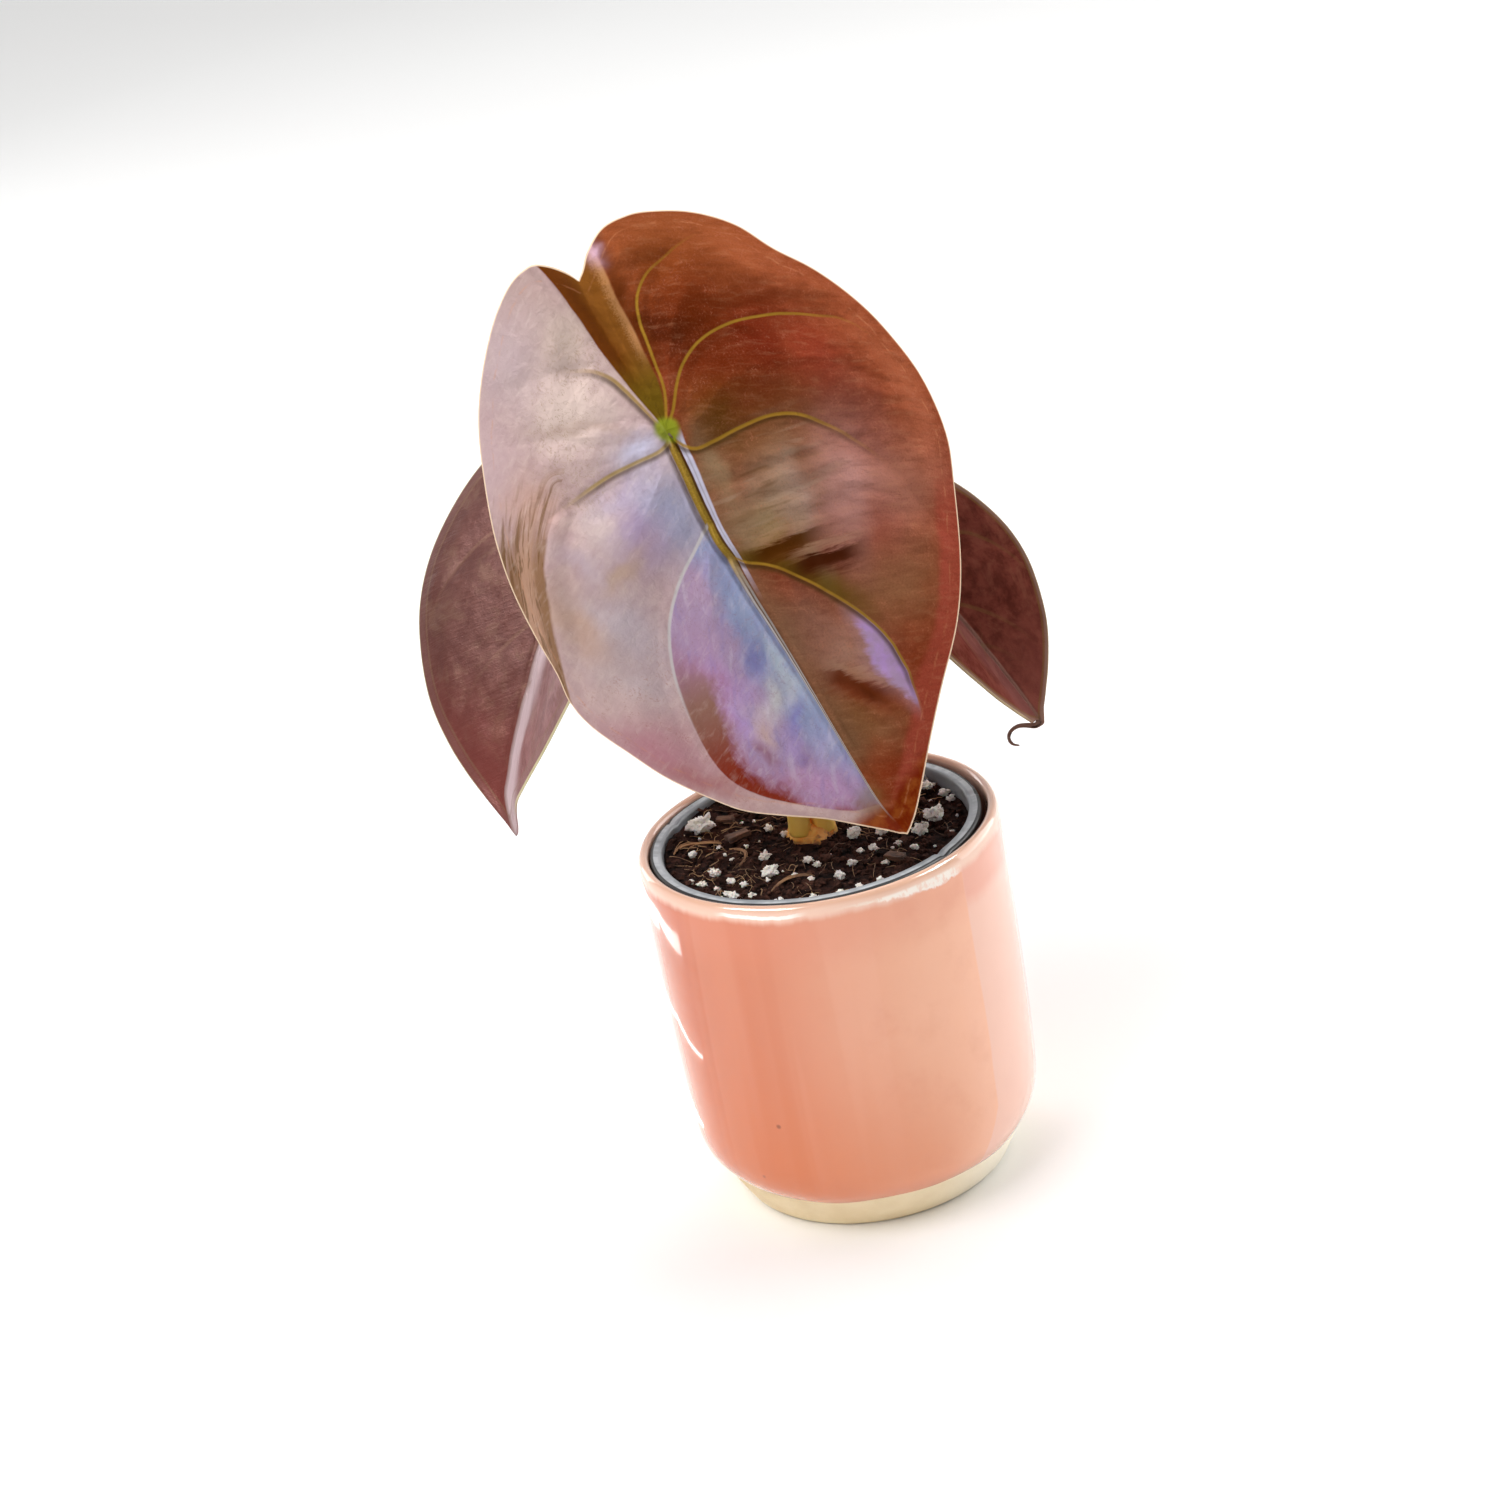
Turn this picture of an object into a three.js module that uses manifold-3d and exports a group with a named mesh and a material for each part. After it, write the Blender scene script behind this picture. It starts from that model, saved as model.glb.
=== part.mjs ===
import * as THREE from "three";
import { mergeVertices } from "three/addons/utils/BufferGeometryUtils.js";
import Module from "manifold-3d";

// A young aroid house plant with three shield leaves, in its nursery pot inside a glazed cover pot.
// Millimetres, +Z up. The origin is the middle of the cover pot's foot, on the surface it stands on.
// +Y points away from the side that the big leaf faces.

const fitGap = 0.3;

// Cover pot, glazed ceramic
const potHeight = 74;
const potRadius = 35.5;
const potMouthRadius = 33.1;
const potFloor = 7.5;
const footRadius = 25.9;
const footBevel = 1.2;
const potSides = 56;

// Nursery pot, thin plastic, standing on the floor of the cover pot and leaning to one side of its mouth
const nurseryShiftX = -0.45;
const nurseryBase = potFloor + fitGap;
const nurseryTop = 73.4;
const nurseryRimRadius = 32.4;
const nurseryRimWidth = 2.5;
const nurseryBaseRadius = 23.4;
const nurseryWall = 0.9;
const drainHoleCount = 6;
const drainHoleRadius = 2.4;
const drainHoleRing = 16.5;
const nurserySides = 44;

// Potting mix
const mixEdgeHeight = 70.5;
const mixCrown = 1.1;
const mixRadius = 29.3;
const mixBase = nurseryBase + 1.3;
const mixBaseRadius = 21.9;
const mixSides = 40;

// Corm and the crown of leaf stalks on it
const crownX = -1.3;
const crownY = 1.7;
const cormRadius = 6.2;
const cormTop = 73;
const cormBase = 65.5;
const cormPlate = 5.2;

// Leaf blade: a closed outline about the point where the stalk joins it, as along and across,
// in parts of the distance from that point to the tip
const bladeThickness = 0.8;
const foldRounding = 1.8;
const outlineSteps = 2;
const bladeRings = [0.16, 0.34, 0.52, 0.7, 0.85, 0.95];
const shieldOutline = [
  [1.0, 0.0],
  [0.974, 0.034],
  [0.9, 0.115],
  [0.8, 0.235],
  [0.685, 0.35],
  [0.55, 0.437],
  [0.42, 0.497],
  [0.28, 0.524],
  [0.13, 0.516],
  [-0.02, 0.482],
  [-0.17, 0.415],
  [-0.305, 0.337],
  [-0.397, 0.251],
  [-0.444, 0.175],
  [-0.458, 0.1],
  [-0.4, 0.026],
];

const notchDepth = -0.372;

// Each leaf: where its stalk joins it, the midrib's length and pose, and how each half falls away
const leaves = [
  {
    name: "front",
    join: [-13.6, -13, 161.4],
    length: 86.7,
    widthLeft: 0.995,
    widthRight: 1.085,
    skew: -0.11,
    droop: 60.8,
    heading: -44.5,
    turn: 41.8,
    bendTip: 0.0035,
    bendLobes: 0.008,
    foldLeft: 0.22,
    foldRight: 0.22,
    curlLeft: 0.0075,
    curlRight: 0.0075,
    valleyDepth: 4,
    tipDrift: 0,
    stalkBase: [-3.2, 0.1],
    stalkRoute: [
      [-4.8, 2.6, 98],
      [-8.4, 5, 126],
      [-12, 4, 148],
      [-13.5, -2, 157],
    ],
    stalkRadius: 1.7,
  },
  {
    name: "left",
    join: [-32.1, 31.7, 133],
    length: 64.3,
    widthLeft: 1.025,
    widthRight: 1.025,
    skew: 0,
    droop: 44.4,
    heading: -146.5,
    turn: 0.8,
    bendTip: 0.007,
    bendLobes: 0.008,
    foldLeft: -0.468,
    foldRight: -0.457,
    curlLeft: 0.01,
    curlRight: 0.009,
    valleyDepth: 1,
    tipDrift: 3,
    stalkBase: [-1.5, 4.4],
    stalkRoute: [
      [-4, 8, 92],
      [-12, 18, 112],
      [-22, 28, 124.5],
    ],
    stalkRadius: 1.4,
  },
  {
    name: "right",
    join: [25.2, 21, 118.1],
    length: 45.6,
    widthLeft: 1.006,
    widthRight: 1.006,
    skew: 0,
    droop: 50.6,
    heading: -23.9,
    turn: 18.9,
    bendTip: 0.007,
    bendLobes: 0.008,
    foldLeft: -0.675,
    foldRight: -0.184,
    curlLeft: 0.008,
    curlRight: 0.009,
    valleyDepth: 1,
    tipDrift: 0,
    stalkBase: [1.5, 0.9],
    stalkRoute: [
      [3, 5, 89],
      [10, 14.5, 103],
      [18, 21.5, 111.8],
    ],
    stalkRadius: 1.2,
  },
];
const stalkBaseRadius = 2.1;
const stalkSides = 10;
const stalkSteps = 16;

// Loose things on top of the mix: x, y and size across
const perlite = [
  [-22.3, 12.6, 4.2],
  [22.6, -1.2, 3.6],
  [19.4, -6.4, 2.7],
  [-10.2, -13.4, 2.9],
  [7, -4.6, 2.6],
  [12.4, -4, 2.5],
  [-10.8, -6.2, 2],
  [-2.8, -12, 1.8],
  [-20.8, -8.4, 2],
  [22.8, 13.4, 2.2],
  [8.5, 17, 3],
  [-9, 20.5, 2.6],
  [16.2, 8.2, 2.2],
];
const chips = [
  [-15.2, 5.6, 4.6, 25],
  [13.6, -16.2, 3.8, -40],
  [1.6, 12.6, 4.2, 70],
  [-17.6, 14.8, 3.4, -15],
];
const fibres = [
  [-23.5, 3.5, 10, 20, 3],
  [-16.4, -2.6, 8, -80, 2],
  [-6.4, -18.8, 9, 20, 2],
  [15.8, 1.4, 9, 110, 2.2],
  [11, 21.4, 11, 160, 3],
];
const fibreRadius = 0.35;

const glaze = new THREE.MeshStandardMaterial({ color: 0xe3a288, roughness: 0.15, metalness: 0 });
const plastic = new THREE.MeshStandardMaterial({ color: 0xb9bfbe, roughness: 0.4, metalness: 0 });
const peat = new THREE.MeshStandardMaterial({ color: 0x2e1c17, roughness: 0.95, metalness: 0 });
const white = new THREE.MeshStandardMaterial({ color: 0xe9e0d6, roughness: 0.9, metalness: 0 });
const bark = new THREE.MeshStandardMaterial({ color: 0x5a3a26, roughness: 0.9, metalness: 0 });
const coir = new THREE.MeshStandardMaterial({ color: 0x9a6f45, roughness: 0.9, metalness: 0 });
const cormSkin = new THREE.MeshStandardMaterial({ color: 0xb98a4a, roughness: 0.7, metalness: 0 });
const stalkSkin = new THREE.MeshStandardMaterial({ color: 0x7c7a3a, roughness: 0.45, metalness: 0 });
const leafSkin = new THREE.MeshStandardMaterial({ color: 0x8a5a55, roughness: 0.3, metalness: 0.1 });

const group = new THREE.Group();

const wasm = await Module();
wasm.setup();

function cleaned(geometry) {
  geometry.deleteAttribute("normal");
  geometry.deleteAttribute("uv");
  const merged = mergeVertices(geometry, 1e-4);
  const index = merged.index.array;
  const kept = [];
  for (let i = 0; i < index.length; i += 3) {
    const [a, b, c] = [index[i], index[i + 1], index[i + 2]];
    if (a !== b && b !== c && c !== a) {
      kept.push(a, b, c);
    }
  }
  merged.setIndex(kept);
  return merged;
}

function toManifold(geometry) {
  const merged = cleaned(geometry);
  return new wasm.Manifold(new wasm.Mesh({
    numProp: 3,
    vertProperties: new Float32Array(merged.attributes.position.array),
    triVerts: new Uint32Array(merged.index.array),
  }));
}

function fromManifold(solid) {
  const mesh = solid.getMesh();
  const geometry = new THREE.BufferGeometry();
  geometry.setAttribute("position", new THREE.BufferAttribute(mesh.vertProperties, 3));
  geometry.setIndex(new THREE.BufferAttribute(mesh.triVerts, 1));
  return geometry;
}

function add(name, geometry, material) {
  geometry.computeVertexNormals();
  const mesh = new THREE.Mesh(geometry, material);
  mesh.name = name;
  group.add(mesh);
}

// A turned solid about the vertical axis, from radius and height pairs that start and end on it
function turned(profile, sides) {
  const points = profile.map(([r, z]) => new THREE.Vector2(r, z));
  const geometry = new THREE.LatheGeometry(points, sides);
  geometry.rotateX(Math.PI / 2);
  return geometry;
}

function mixHeight(x, y) {
  const r = Math.hypot(x - nurseryShiftX, y) / mixRadius;
  return mixEdgeHeight + mixCrown * (1 - r * r);
}

function coverPot() {
  const profile = [
    [0, 0],
    [footRadius, 0],
    [footRadius + 1.3, footBevel],
    [30.5, 7.9],
    [32.8, 10.6],
    [34.2, 14],
    [34.8, 20],
    [35.2, 34],
    [35.45, 52],
    [potRadius, 71.4],
    [35, 73],
    [34.1, potHeight],
    [33.6, potHeight],
    [potMouthRadius, 73.4],
    [potMouthRadius - 0.1, 71],
    [32.9, 50],
    [32.4, 20],
    [31, 11.5],
    [28, 8],
    [26, potFloor],
    [0, potFloor],
  ];
  return turned(profile, potSides);
}

function nurseryPot() {
  const rimInner = nurseryRimRadius - nurseryRimWidth;
  const profile = [
    [0, nurseryBase],
    [nurseryBaseRadius, nurseryBase],
    [31, nurseryTop - 1.5],
    [nurseryRimRadius, nurseryTop - 1.3],
    [nurseryRimRadius, nurseryTop - 0.3],
    [nurseryRimRadius - 0.4, nurseryTop],
    [rimInner + 0.3, nurseryTop],
    [rimInner, nurseryTop - 0.4],
    [nurseryBaseRadius - nurseryWall, nurseryBase + nurseryWall],
    [0, nurseryBase + nurseryWall],
  ];
  let solid = toManifold(turned(profile, nurserySides));
  for (let i = 0; i < drainHoleCount; i += 1) {
    const angle = ((i + 0.5) / drainHoleCount) * 2 * Math.PI;
    const cutter = new THREE.CylinderGeometry(drainHoleRadius, drainHoleRadius, 6, 12);
    cutter.rotateX(Math.PI / 2);
    cutter.translate(drainHoleRing * Math.cos(angle), drainHoleRing * Math.sin(angle), nurseryBase);
    solid = solid.subtract(toManifold(cutter));
  }
  return fromManifold(solid).translate(nurseryShiftX, 0, 0);
}

function cormShape(grow) {
  const middle = cormTop - 2.6;
  const profile = [
    [0, cormBase - grow],
    [2.4 + grow * 0.5, cormBase - grow],
    [4.9 + grow, cormBase + 1.8],
    [cormRadius + grow, middle],
    [6 + grow, cormTop - 1],
    [cormPlate + grow, cormTop + grow],
    [0, cormTop + grow],
  ];
  return turned(profile, 20).translate(crownX, crownY, 0);
}

function pottingMix() {
  const profile = [
    [0, mixBase],
    [mixBaseRadius, mixBase],
    [mixRadius, mixEdgeHeight - 0.6],
  ];
  for (let i = 8; i >= 0; i -= 1) {
    const r = (mixRadius * i) / 8;
    profile.push([Math.min(r, mixRadius - 0.2), mixEdgeHeight + mixCrown * (1 - (i / 8) ** 2)]);
  }
  const plug = toManifold(turned(profile, mixSides).translate(nurseryShiftX, 0, 0));
  return fromManifold(plug.subtract(toManifold(cormShape(fitGap))));
}

// Repeatable numbers between -1 and 1 for the loose pieces
let drawState = 7;
function draw() {
  drawState = (drawState * 16807) % 2147483647;
  return (drawState / 2147483647) * 2 - 1;
}

// Each loose piece is a body of its own, numbered from 1
function addEach(name, list, make, material) {
  list.forEach((item, i) => add(`${name}_${i + 1}`, cleaned(make(item)), material));
}

// Sets a loose piece down on the mix, just clear of it under the lowest of its corners
function setDown(geometry, x, y) {
  geometry.translate(x, y, 0);
  const position = geometry.attributes.position;
  let lift = -Infinity;
  for (let i = 0; i < position.count; i += 1) {
    const ground = mixHeight(position.getX(i), position.getY(i));
    lift = Math.max(lift, ground - position.getZ(i));
  }
  geometry.translate(0, 0, lift + fitGap);
  return geometry;
}

function perliteGrain([x, y, size]) {
  const grain = new THREE.IcosahedronGeometry(size / 2, 0);
  grain.rotateZ(draw() * Math.PI);
  grain.scale(1 + 0.15 * draw(), 1 + 0.15 * draw(), 0.8 + 0.1 * draw());
  return setDown(grain, x, y);
}

function barkChip([x, y, length, angle]) {
  const chip = new THREE.BoxGeometry(length, length * 0.55, 1.1);
  chip.rotateZ(THREE.MathUtils.degToRad(angle));
  return setDown(chip, x, y);
}

// A round rod bent along a path, with a radius that changes along it
function bentRod(path, radiusAt, sides, steps) {
  const rod = new THREE.CylinderGeometry(1, 1, 1, sides, steps);
  const frames = path.computeFrenetFrames(steps, false);
  const position = rod.attributes.position;
  for (let i = 0; i < position.count; i += 1) {
    const part = position.getY(i) + 0.5;
    const step = Math.round(part * steps);
    const radius = radiusAt(part);
    const point = path.getPointAt(part);
    point.addScaledVector(frames.normals[step], position.getX(i) * radius);
    point.addScaledVector(frames.binormals[step], -position.getZ(i) * radius);
    position.setXYZ(i, point.x, point.y, point.z);
  }
  return rod;
}

function coirFibre([x, y, length, angle, bow]) {
  const turn = THREE.MathUtils.degToRad(angle);
  const along = new THREE.Vector2(Math.cos(turn), Math.sin(turn));
  const points = [-0.5, -0.2, 0.15, 0.5].map((part) => {
    const side = bow * (1 - 4 * part * part);
    const px = x + along.x * part * length - along.y * side;
    const py = y + along.y * part * length + along.x * side;
    return new THREE.Vector3(px, py, mixHeight(px, py));
  });
  const rod = bentRod(new THREE.CatmullRomCurve3(points), () => fibreRadius, 6, 8);
  return setDown(rod, 0, 0);
}

// Directions of a leaf: along its midrib to the tip, across to its right, and out of its upper face
function leafFrame(leaf) {
  const droop = THREE.MathUtils.degToRad(leaf.droop);
  const heading = THREE.MathUtils.degToRad(leaf.heading);
  const turn = THREE.MathUtils.degToRad(leaf.turn);
  const level = new THREE.Vector3(Math.cos(heading), Math.sin(heading), 0);
  const up = new THREE.Vector3(0, 0, 1);
  const along = level.clone().multiplyScalar(Math.cos(droop)).addScaledVector(up, -Math.sin(droop));
  const face = level.clone().multiplyScalar(Math.sin(droop)).addScaledVector(up, Math.cos(droop));
  const across = new THREE.Vector3().crossVectors(face, along);
  const acrossTurned = across.clone().multiplyScalar(Math.cos(turn)).addScaledVector(face, Math.sin(turn));
  const faceTurned = face.clone().multiplyScalar(Math.cos(turn)).addScaledVector(across, -Math.sin(turn));
  return { along, across: acrossTurned, face: faceTurned };
}

function smoothStep(low, high, value) {
  const part = Math.min(Math.max((value - low) / (high - low), 0), 1);
  return part * part * (3 - 2 * part);
}

// A point of the blade: s along the midrib, t across, lift out of the middle of its thickness
function bladePoint(leaf, frame, s, t, lift) {
  const bend = s > 0 ? leaf.bendTip : leaf.bendLobes;
  const swing = bend * s;
  const point = new THREE.Vector3(...leaf.join);
  point.addScaledVector(frame.along, Math.sin(swing) / bend);
  point.addScaledVector(frame.face, (Math.cos(swing) - 1) / bend);
  const face = frame.face.clone().multiplyScalar(Math.cos(swing));
  face.addScaledVector(frame.along, Math.sin(swing));
  const fold = t > 0 ? leaf.foldRight : leaf.foldLeft;
  const curl = t > 0 ? leaf.curlRight : leaf.curlLeft;
  const reach = Math.abs(t);
  const hyp = Math.hypot(reach, foldRounding);
  const bent = hyp - foldRounding;
  const slope = fold + curl * bent;
  const out = (Math.sin(slope) - Math.sin(fold)) / curl + reach - bent;
  const fall = (Math.cos(fold) - Math.cos(slope)) / curl;
  const rate = reach / hyp;
  const level = Math.cos(slope) * rate + 1 - rate;
  const drop = Math.sin(slope) * rate;
  const size = Math.hypot(level, drop);
  const side = Math.sign(t);
  const valleyWidth = leaf.length * (t > 0 ? 0.075 : 0.04);
  const valley = leaf.valleyDepth * smoothStep(0.02, 0.3, -s / leaf.length) * Math.exp(-((t / valleyWidth) ** 2));
  const drift = leaf.tipDrift * smoothStep(0.86, 1.12, s / leaf.length) * 2;
  const rise = lift - valley;
  point.addScaledVector(frame.across, side * out + drift + (side * drop * rise) / size);
  point.addScaledVector(face, (level * rise) / size - fall);
  return point;
}

// The blade is a turned disc whose rim is laid out on the leaf's outline
function blade(leaf) {
  const right = shieldOutline.map(([s, t]) => new THREE.Vector3(s, t * leaf.widthRight, 0));
  const notch = new THREE.Vector3(notchDepth, 0, 0);
  const left = shieldOutline.slice(1).reverse().map(([s, t]) => new THREE.Vector3(s, -t * leaf.widthLeft, 0));
  const outline = new THREE.CatmullRomCurve3([...right, notch, ...left], true, "centripetal");
  const count = outline.points.length * outlineSteps;
  const half = bladeThickness / 2;
  const profile = [new THREE.Vector2(0, -half)];
  bladeRings.forEach((ring) => profile.push(new THREE.Vector2(ring, -half)));
  profile.push(new THREE.Vector2(1, 0));
  [...bladeRings].reverse().forEach((ring) => profile.push(new THREE.Vector2(ring, half)));
  profile.push(new THREE.Vector2(0, half));
  const disc = new THREE.LatheGeometry(profile, count);
  const frame = leafFrame(leaf);
  const position = disc.attributes.position;
  for (let i = 0; i < position.count; i += 1) {
    const ring = Math.hypot(position.getX(i), position.getZ(i));
    const angle = Math.atan2(position.getX(i), position.getZ(i)) / (2 * Math.PI);
    const rim = outline.getPoint(((Math.round(angle * count) + count) % count) / count);
    const t = rim.y * ring * leaf.length;
    const s = rim.x * ring * leaf.length + leaf.skew * t;
    const point = bladePoint(leaf, frame, s, t, position.getY(i));
    position.setXYZ(i, point.x, point.y, point.z);
  }
  return cleaned(disc);
}

function stalk(leaf) {
  const frame = leafFrame(leaf);
  const top = bladePoint(leaf, frame, 0, 0, -bladeThickness / 2 - fitGap);
  const neck = bladePoint(leaf, frame, 0, 0, -4);
  const [baseX, baseY] = leaf.stalkBase;
  const points = [
    new THREE.Vector3(baseX, baseY, cormTop + fitGap),
    new THREE.Vector3(baseX, baseY, cormTop + 5),
    ...leaf.stalkRoute.map((p) => new THREE.Vector3(...p)),
    neck,
    top,
  ];
  const path = new THREE.CatmullRomCurve3(points, false, "centripetal");
  path.arcLengthDivisions = 400;
  const radiusAt = (part) => {
    const taper = stalkBaseRadius + (leaf.stalkRadius - stalkBaseRadius) * smoothStep(0, 0.35, part);
    return taper * (1 - 0.2 * smoothStep(0.35, 0.9, part));
  };
  return bentRod(path, radiusAt, stalkSides, stalkSteps);
}

add("cover_pot", coverPot(), glaze);
add("nursery_pot", nurseryPot(), plastic);
add("potting_mix", pottingMix(), peat);
addEach("perlite_grain", perlite, perliteGrain, white);
addEach("bark_chip", chips, barkChip, bark);
addEach("coir_fibre", fibres, coirFibre, coir);
add("corm", cormShape(0), cormSkin);
for (const leaf of leaves) {
  add(`leaf_stalk_${leaf.name}`, stalk(leaf), stalkSkin);
  add(`leaf_blade_${leaf.name}`, blade(leaf), leafSkin);
}

export default group;
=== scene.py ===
import math
import random

import bmesh
import bpy
import numpy as np
from mathutils import Matrix, Vector, noise


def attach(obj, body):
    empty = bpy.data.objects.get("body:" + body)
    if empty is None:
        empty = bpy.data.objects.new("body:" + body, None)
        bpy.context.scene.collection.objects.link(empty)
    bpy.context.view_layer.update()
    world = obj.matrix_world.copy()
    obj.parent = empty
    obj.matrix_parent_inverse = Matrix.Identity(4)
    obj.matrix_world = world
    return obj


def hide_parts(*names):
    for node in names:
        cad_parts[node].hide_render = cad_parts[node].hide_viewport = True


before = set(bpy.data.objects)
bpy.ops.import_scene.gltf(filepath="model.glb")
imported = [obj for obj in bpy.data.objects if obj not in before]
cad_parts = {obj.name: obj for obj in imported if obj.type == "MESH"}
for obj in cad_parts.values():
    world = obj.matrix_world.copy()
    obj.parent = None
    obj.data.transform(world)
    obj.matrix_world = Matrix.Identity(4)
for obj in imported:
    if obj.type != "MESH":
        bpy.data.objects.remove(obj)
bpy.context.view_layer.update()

scene = bpy.context.scene
mm = 0.001
nodeNames = sorted(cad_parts)


# small helpers

def tint(red, green, blue):
    # a colour as a screen shows it, 0 to 255, turned into the linear values that shaders take
    def lin(v):
        v = v / 255
        return v / 12.92 if v <= 0.04045 else ((v + 0.055) / 1.055) ** 2.4
    return (lin(red), lin(green), lin(blue), 1.0)


def fadeIn(low, high, value):
    part = np.clip((value - low) / (high - low), 0, 1)
    return part * part * (3 - 2 * part)


def smoothLine(points, steps):
    # a soft curve through the points, with this many rows between two of them
    points = np.array(points, float)
    ends = np.vstack([2 * points[0] - points[1], points, 2 * points[-1] - points[-2]])
    u = np.linspace(0, 1, steps, endpoint=False)[:, None]
    rows = []
    for i in range(len(points) - 1):
        a, b, c, d = ends[i:i + 4]
        bend, twist = 2 * a - 5 * b + 4 * c - d, 3 * b - a - 3 * c + d
        rows.append(0.5 * (2 * b + (c - a) * u + bend * u ** 2 + twist * u ** 3))
    return np.vstack(rows + [points[-1:]])


def lengthsAlong(line):
    return np.r_[0, np.cumsum(np.linalg.norm(np.diff(line, axis=0), axis=1))]


def spacedLine(line, count):
    # the same curve at even distances
    gaps = lengthsAlong(line)
    at = np.linspace(0, gaps[-1], count)
    return np.stack([np.interp(at, gaps, line[:, k]) for k in range(line.shape[1])], axis=1)


def distanceTo(line, s, t):
    # signed distance from a flat curve (left of its direction is positive) and how far along it, 0 to 1
    gaps = lengthsAlong(line)
    best = np.full(s.shape, 1e9)
    signed = np.zeros(s.shape)
    along = np.zeros(s.shape)
    for i in range(len(line) - 1):
        ax, ay = line[i]
        dx, dy = line[i + 1] - line[i]
        part = np.clip(((s - ax) * dx + (t - ay) * dy) / (dx * dx + dy * dy), 0, 1)
        px, py = s - ax - part * dx, t - ay - part * dy
        far = np.hypot(px, py)
        near = far < best - 1e-9
        best = np.where(near, far, best)
        signed = np.where(near, np.sign(dx * py - dy * px) * far, signed)
        along = np.where(near, (gaps[i] + part * (gaps[i + 1] - gaps[i])) / gaps[-1], along)
    return signed, along


def soft(x, y, z):
    return noise.noise(Vector((x, y, z)))


def fuzz(x, y, z, scale, depth):
    # repeatable soft noise at many points
    pts = np.stack([x, y, z], axis=-1).reshape(-1, 3) * scale
    return np.array([noise.fractal(Vector(p), 0.6, 2.1, depth) for p in pts]).reshape(np.shape(x))


def meshPiece(name, build, body="root", materials=(), smooth=True):
    # a finished mesh object at the origin, in metres, riding on its body
    mesh = bpy.data.meshes.new(name)
    build.to_mesh(mesh)
    build.free()
    piece = bpy.data.objects.new(name, mesh)
    scene.collection.objects.link(piece)
    for material in materials:
        mesh.materials.append(material)
    mesh.polygons.foreach_set("use_smooth", [smooth] * len(mesh.polygons))
    mesh.update()
    if body:
        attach(piece, body)
    return piece


def named(start):
    return [n for n in nodeNames if n.startswith(start)]


def closeUp(build, gap):
    bmesh.ops.remove_doubles(build, verts=build.verts, dist=gap)
    bmesh.ops.recalc_face_normals(build, faces=build.faces)


def spinProfile(build, profile, steps, shiftX=0.0):
    # turns radius and height pairs, in mm, about the upright axis at shiftX
    made = [build.verts.new((r * mm, 0, z * mm)) for r, z in profile]
    edges = [build.edges.new(pair) for pair in zip(made, made[1:])]
    bmesh.ops.spin(build, geom=made + edges, axis=(0, 0, 1), angle=math.tau, steps=steps, use_merge=True)
    closeUp(build, 1e-6)
    bmesh.ops.translate(build, verts=build.verts, vec=(shiftX * mm, 0, 0))


def addPart(build, part):
    # puts a small finished shape into a bigger one
    carrier = bpy.data.meshes.new("carrier")
    part.to_mesh(carrier)
    part.free()
    build.from_mesh(carrier)
    bpy.data.meshes.remove(carrier)


def wrapGrid(build, around, along, place):
    # a sheet rolled into a closed skin: place(turn 0..1, part 0..1) gives each corner, in mm
    part = bmesh.new()
    bmesh.ops.create_grid(part, x_segments=around, y_segments=along, size=1)
    for v in part.verts:
        turn = round((v.co.x + 1) / 2 * around) % around / around
        step = round((v.co.y + 1) / 2 * along) / along
        v.co = Vector(place(turn, step)) * mm
    closeUp(part, 1e-7)
    addPart(build, part)


# shader arithmetic

class Wire:
    # one output socket that takes part in plain sums
    def __init__(self, shade, socket):
        self.shade, self.socket = shade, socket

    def maths(self, operation, first, second=0.0):
        return self.shade.node("Math", {"operation": operation}, {0: first, 1: second})

    def __add__(self, other):
        return self.maths("ADD", self, other)

    def __sub__(self, other):
        return self.maths("SUBTRACT", self, other)

    def __mul__(self, other):
        return self.maths("MULTIPLY", self, other)

    def __truediv__(self, other):
        return self.maths("DIVIDE", self, other)

    def __radd__(self, other):
        return self.maths("ADD", other, self)

    def __rsub__(self, other):
        return self.maths("SUBTRACT", other, self)

    def __rmul__(self, other):
        return self.maths("MULTIPLY", other, self)

    def __neg__(self):
        return 0.0 - self

    def __abs__(self):
        return self.maths("ABSOLUTE", self)

    def sine(self):
        return self.maths("SINE", self)

    def most(self, other):
        return self.maths("MAXIMUM", self, other)

    def coat(self, factor, *tone):
        # lays a colour over this one: red, green and blue from 0 to 255, or a colour that is made already
        over = tint(*tone) if len(tone) == 3 else tone[0]
        self.socket = self.shade.mix(factor, self, over).socket


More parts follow.
